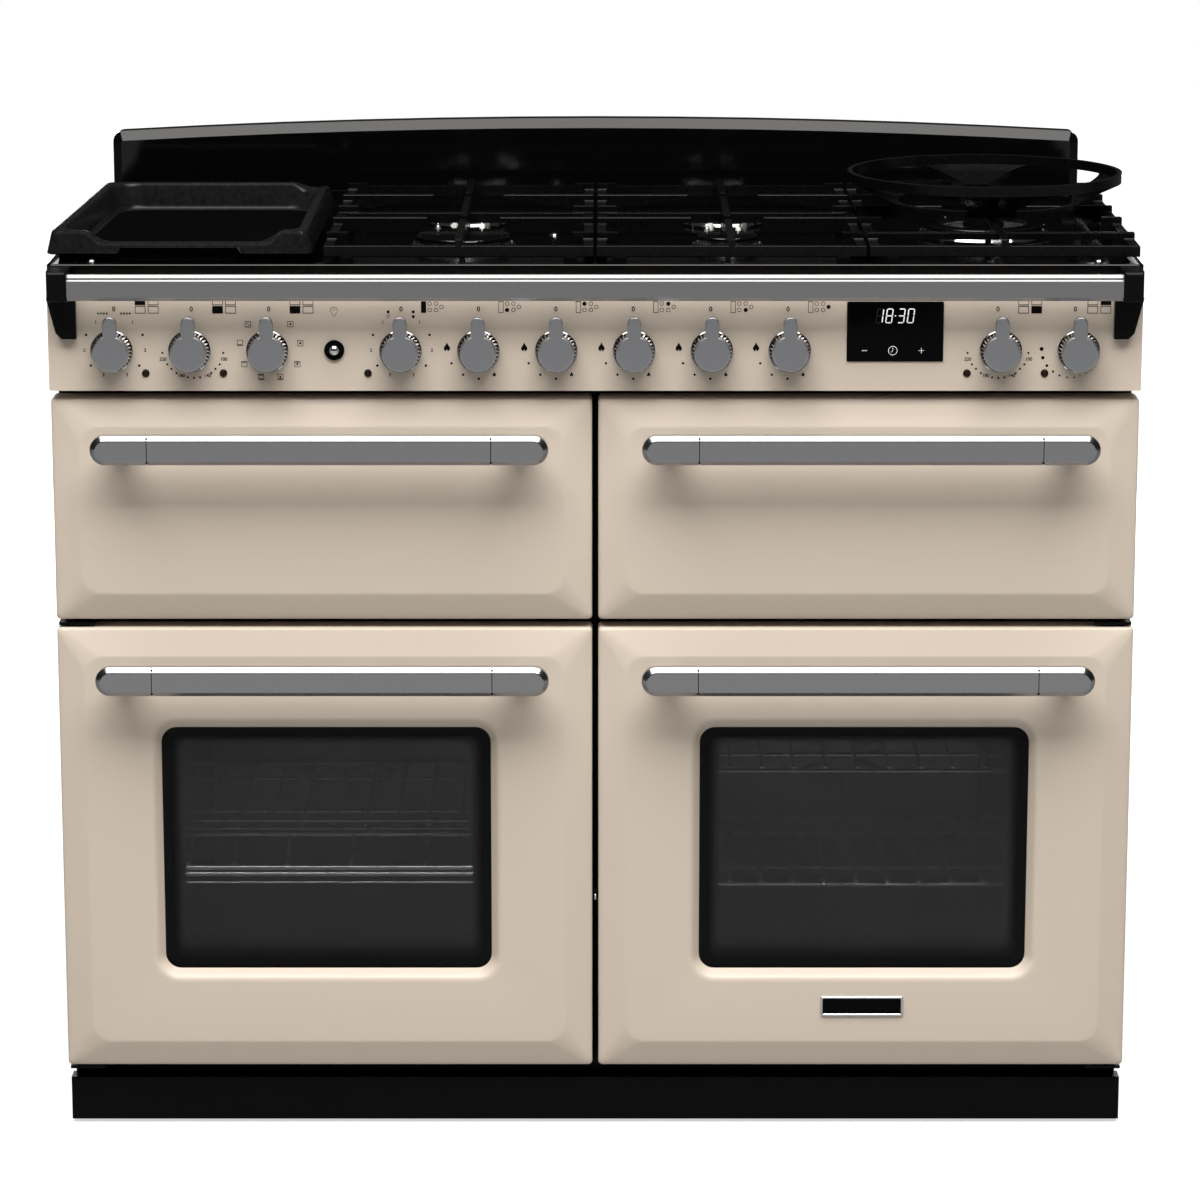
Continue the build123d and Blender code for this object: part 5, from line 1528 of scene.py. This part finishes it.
PAINTED = {
    "cream": ("control_fascia",),
    "black": ("hob_tray", "rear_upstand", "burner_caps"),
    "satin": ("plinth", "handrail_brackets", "runners_and_hinges", "base_frame"),
    "panel": ("outer_panels",),
    "iron": ("pan_supports", "griddle", "wok_ring"),
    "oven": ("oven_cavities", "upper_chambers", "left_door_liner", "right_door_liner", "slow_cook_drawer"),
    "wire": ("oven_racks", "left_door_rack", "grill_carriage"),
    "zinc": ("levelling_feet", "terminal_box", "oven_fans", "left_fan_impeller", "right_fan_impeller"),
    "frit": ("front_frame",),
    "alloy": ("burner_heads",),
    "glass": ("left_door_glass", "right_door_glass"),
    "brass": ("gas_supply", *("spindle_" + name for name in GAS_KNOBS)),
    "element": ("heating_elements",),
    "seal": ("oven_door_seals",),
    "plastic": ("fascia_fittings", "control_switches"),
}
SOFT_EDGES = {"pan_supports": 0.0016, "plinth": 0.0006, "outer_panels": 0.0005, "control_fascia": 0.0006}


class COOKER_OT_finishes(bpy.types.Operator):
    """Finishes and softened edges of the pieces whose shape comes straight from the solid model"""

    bl_idname = "cooker.finishes"
    bl_label = "Finishes"

    def execute(self, context):
        for key, nodes in PAINTED.items():
            for node in nodes:
                paint(node, key)
        for node, width in SOFT_EDGES.items():
            soften(node, width)
        return {"FINISHED"}


class COOKER_OT_stage(bpy.types.Operator):
    """Pale floor, soft studio lamps and the camera"""

    bl_idname = "cooker.stage"
    bl_label = "Stage"

    floor_reach = 9.0
    focal_length = 134.57
    camera_x = 0.00485
    camera_distance = 4.4256
    camera_height = 1.5435
    camera_tilt = 0.21798

    def execute(self, context):
        scene = context.scene
        scene.view_settings.view_transform = "Standard"
        self.floor(scene)
        self.world(scene)
        self.lamp("key_softbox", (0.0, -2.022, 4.110), (0.0, -0.3, 0.5), 4.5, 2.22, 322.0)
        self.lamp("top_softbox", (0.0, -0.45, 4.48), (0.0, -0.45, 0.0), 4.5, 1.15, 90.0)
        self.lamp("back_softbox", (0.0, 3.2, 0.52), (0.0, 0.3, 0.52), 3.0, 0.8, 45.0)
        camera = bpy.data.cameras.new("camera")
        camera.sensor_width = 36.0
        camera.lens = self.focal_length
        camera.clip_end = 100.0
        holder = bpy.data.objects.new("camera", camera)
        scene.collection.objects.link(holder)
        holder.location = (self.camera_x, FRONT_Y - self.camera_distance, self.camera_height)
        holder.rotation_euler = (math.pi / 2 - self.camera_tilt, 0.0, 0.0)
        scene.camera = holder
        return {"FINISHED"}

    def floor(self, scene):
        """White paper that keeps the shadow, and looks darker in reflections near the cooker."""
        mesh = bmesh.new()
        reach = self.floor_reach
        corners = ((-reach, -reach), (reach, -reach), (reach, reach), (-reach, reach))
        mesh.faces.new([mesh.verts.new((x, y, 0.0)) for x, y in corners])
        data = bpy.data.meshes.new("floor")
        mesh.to_mesh(data)
        mesh.free()
        floor = bpy.data.objects.new("floor", data)
        scene.collection.objects.link(floor)
        material, tree, paper = node_tree("floor_paper")
        matt = {"Base Color": (0.34, 0.34, 0.34, 1.0), "Roughness": 0.9, "Specular IOR Level": 0.0}
        feed(tree, paper, matt)
        place = add(tree, "NewGeometry", {}).outputs["Position"]
        depth = add(tree, "SeparateXYZ", {"Vector": place}).outputs["Y"]
        far = add(tree, "VectorMath", {0: place}, "LENGTH").outputs["Value"]
        mirrored = add(tree, "Emission", {"Strength": spread(tree, depth, 0.6, 0.10, -0.8, 0.8)})
        white = add(tree, "Emission", {"Strength": spread(tree, far, 0.6, 1.0, 1.2, 3.2)})
        shaded = add(tree, "BsdfDiffuse", {"Color": (0.6, 0.6, 0.6, 1.0)})
        sheet = add(tree, "AddShader", {0: white.outputs["Emission"], 1: shaded.outputs["BSDF"]})
        path = add(tree, "LightPath", {})
        indirect = self.mix(tree, path.outputs["Is Glossy Ray"], paper, mirrored)
        seen = self.mix(tree, self.seen_directly(tree, path), indirect, sheet)
        feed(tree, tree.nodes["Material Output"], {"Surface": seen.outputs["Shader"]})
        data.materials.append(material)

    def world(self, scene):
        """Plain white where it is seen directly, and a dim warm fill elsewhere."""
        world = bpy.data.worlds.new("studio")
        scene.world = world
        world.use_nodes = True
        tree = world.node_tree
        path = add(tree, "LightPath", {})
        dimmed = spread(tree, path.outputs["Is Glossy Ray"], 0.12, 0.035, 0.0, 1.0)
        fill = tree.nodes["Background"]
        feed(tree, fill, {"Color": (1.0, 0.985, 0.96, 1.0), "Strength": dimmed})
        white = add(tree, "Background", {"Color": (1.0, 1.0, 1.0, 1.0), "Strength": 1.0})
        seen = self.mix(tree, self.seen_directly(tree, path), fill, white)
        feed(tree, tree.nodes["World Output"], {"Surface": seen.outputs["Shader"]})

    def mix(self, tree, share, first, second):
        """Mix of two shaders."""
        return add(tree, "MixShader", {"Fac": share, 1: first.outputs[0], 2: second.outputs[0]})

    def seen_directly(self, tree, path):
        """One for rays from the camera, also through glass."""
        rays = {0: path.outputs["Is Camera Ray"], 1: path.outputs["Is Transmission Ray"]}
        return add(tree, "Math", rays, "MAXIMUM").outputs[0]

    def lamp(self, name, place, target, width, height, power):
        """Rectangular softbox aimed at a point."""
        data = bpy.data.lights.new(name, "AREA")
        data.shape = "RECTANGLE"
        data.size = width
        data.size_y = height
        data.energy = power
        data.color = (1.0, 0.98, 0.95)
        lamp = bpy.data.objects.new(name, data)
        bpy.context.scene.collection.objects.link(lamp)
        lamp.location = place
        aim = Vector(target) - Vector(place)
        lamp.rotation_euler = aim.to_track_quat("-Z", "Y").to_euler()
        lamp.visible_camera = False


class COOKER_PT_panel(bpy.types.Panel):
    """Lists the cooker's pieces, sizes and colours in the sidebar"""

    bl_idname = "COOKER_PT_panel"
    bl_label = "Range cooker"
    bl_space_type = "VIEW_3D"
    bl_region_type = "UI"
    bl_category = "Cooker"

    def draw(self, context):
        layout = self.layout
        for operator in OPERATORS:
            layout.operator(operator.bl_idname)
        for group in (context.scene.cooker_sizes, context.scene.cooker_colours):
            column = layout.column(align=True)
            for name in group.__annotations__:
                column.prop(group, name)


OPERATORS = (
    COOKER_OT_finishes,
    COOKER_OT_fronts,
    COOKER_OT_windows,
    COOKER_OT_rack,
    COOKER_OT_handles,
    COOKER_OT_rail,
    COOKER_OT_knobs,
    COOKER_OT_light_button,
    COOKER_OT_prints,
    COOKER_OT_clock,
    COOKER_OT_badge,
    COOKER_OT_griddle,
    COOKER_OT_hob,
    COOKER_OT_stage,
)
CLASSES = (CookerColours, CookerSizes, *OPERATORS, COOKER_PT_panel)


def register():
    for cls in CLASSES:
        bpy.utils.register_class(cls)
    bpy.types.Scene.cooker_colours = PointerProperty(type=CookerColours)
    bpy.types.Scene.cooker_sizes = PointerProperty(type=CookerSizes)


def unregister():
    del bpy.types.Scene.cooker_sizes
    del bpy.types.Scene.cooker_colours
    for cls in reversed(CLASSES):
        bpy.utils.unregister_class(cls)


def main():
    register()
    bpy.ops.cooker.finishes()
    bpy.ops.cooker.fronts()
    bpy.ops.cooker.windows()
    bpy.ops.cooker.rack()
    bpy.ops.cooker.handles()
    bpy.ops.cooker.rail()
    bpy.ops.cooker.knobs()
    bpy.ops.cooker.light_button()
    bpy.ops.cooker.prints()
    bpy.ops.cooker.clock()
    bpy.ops.cooker.badge()
    bpy.ops.cooker.griddle()
    bpy.ops.cooker.hob()
    bpy.ops.cooker.stage()


if __name__ == "__main__":
    main()
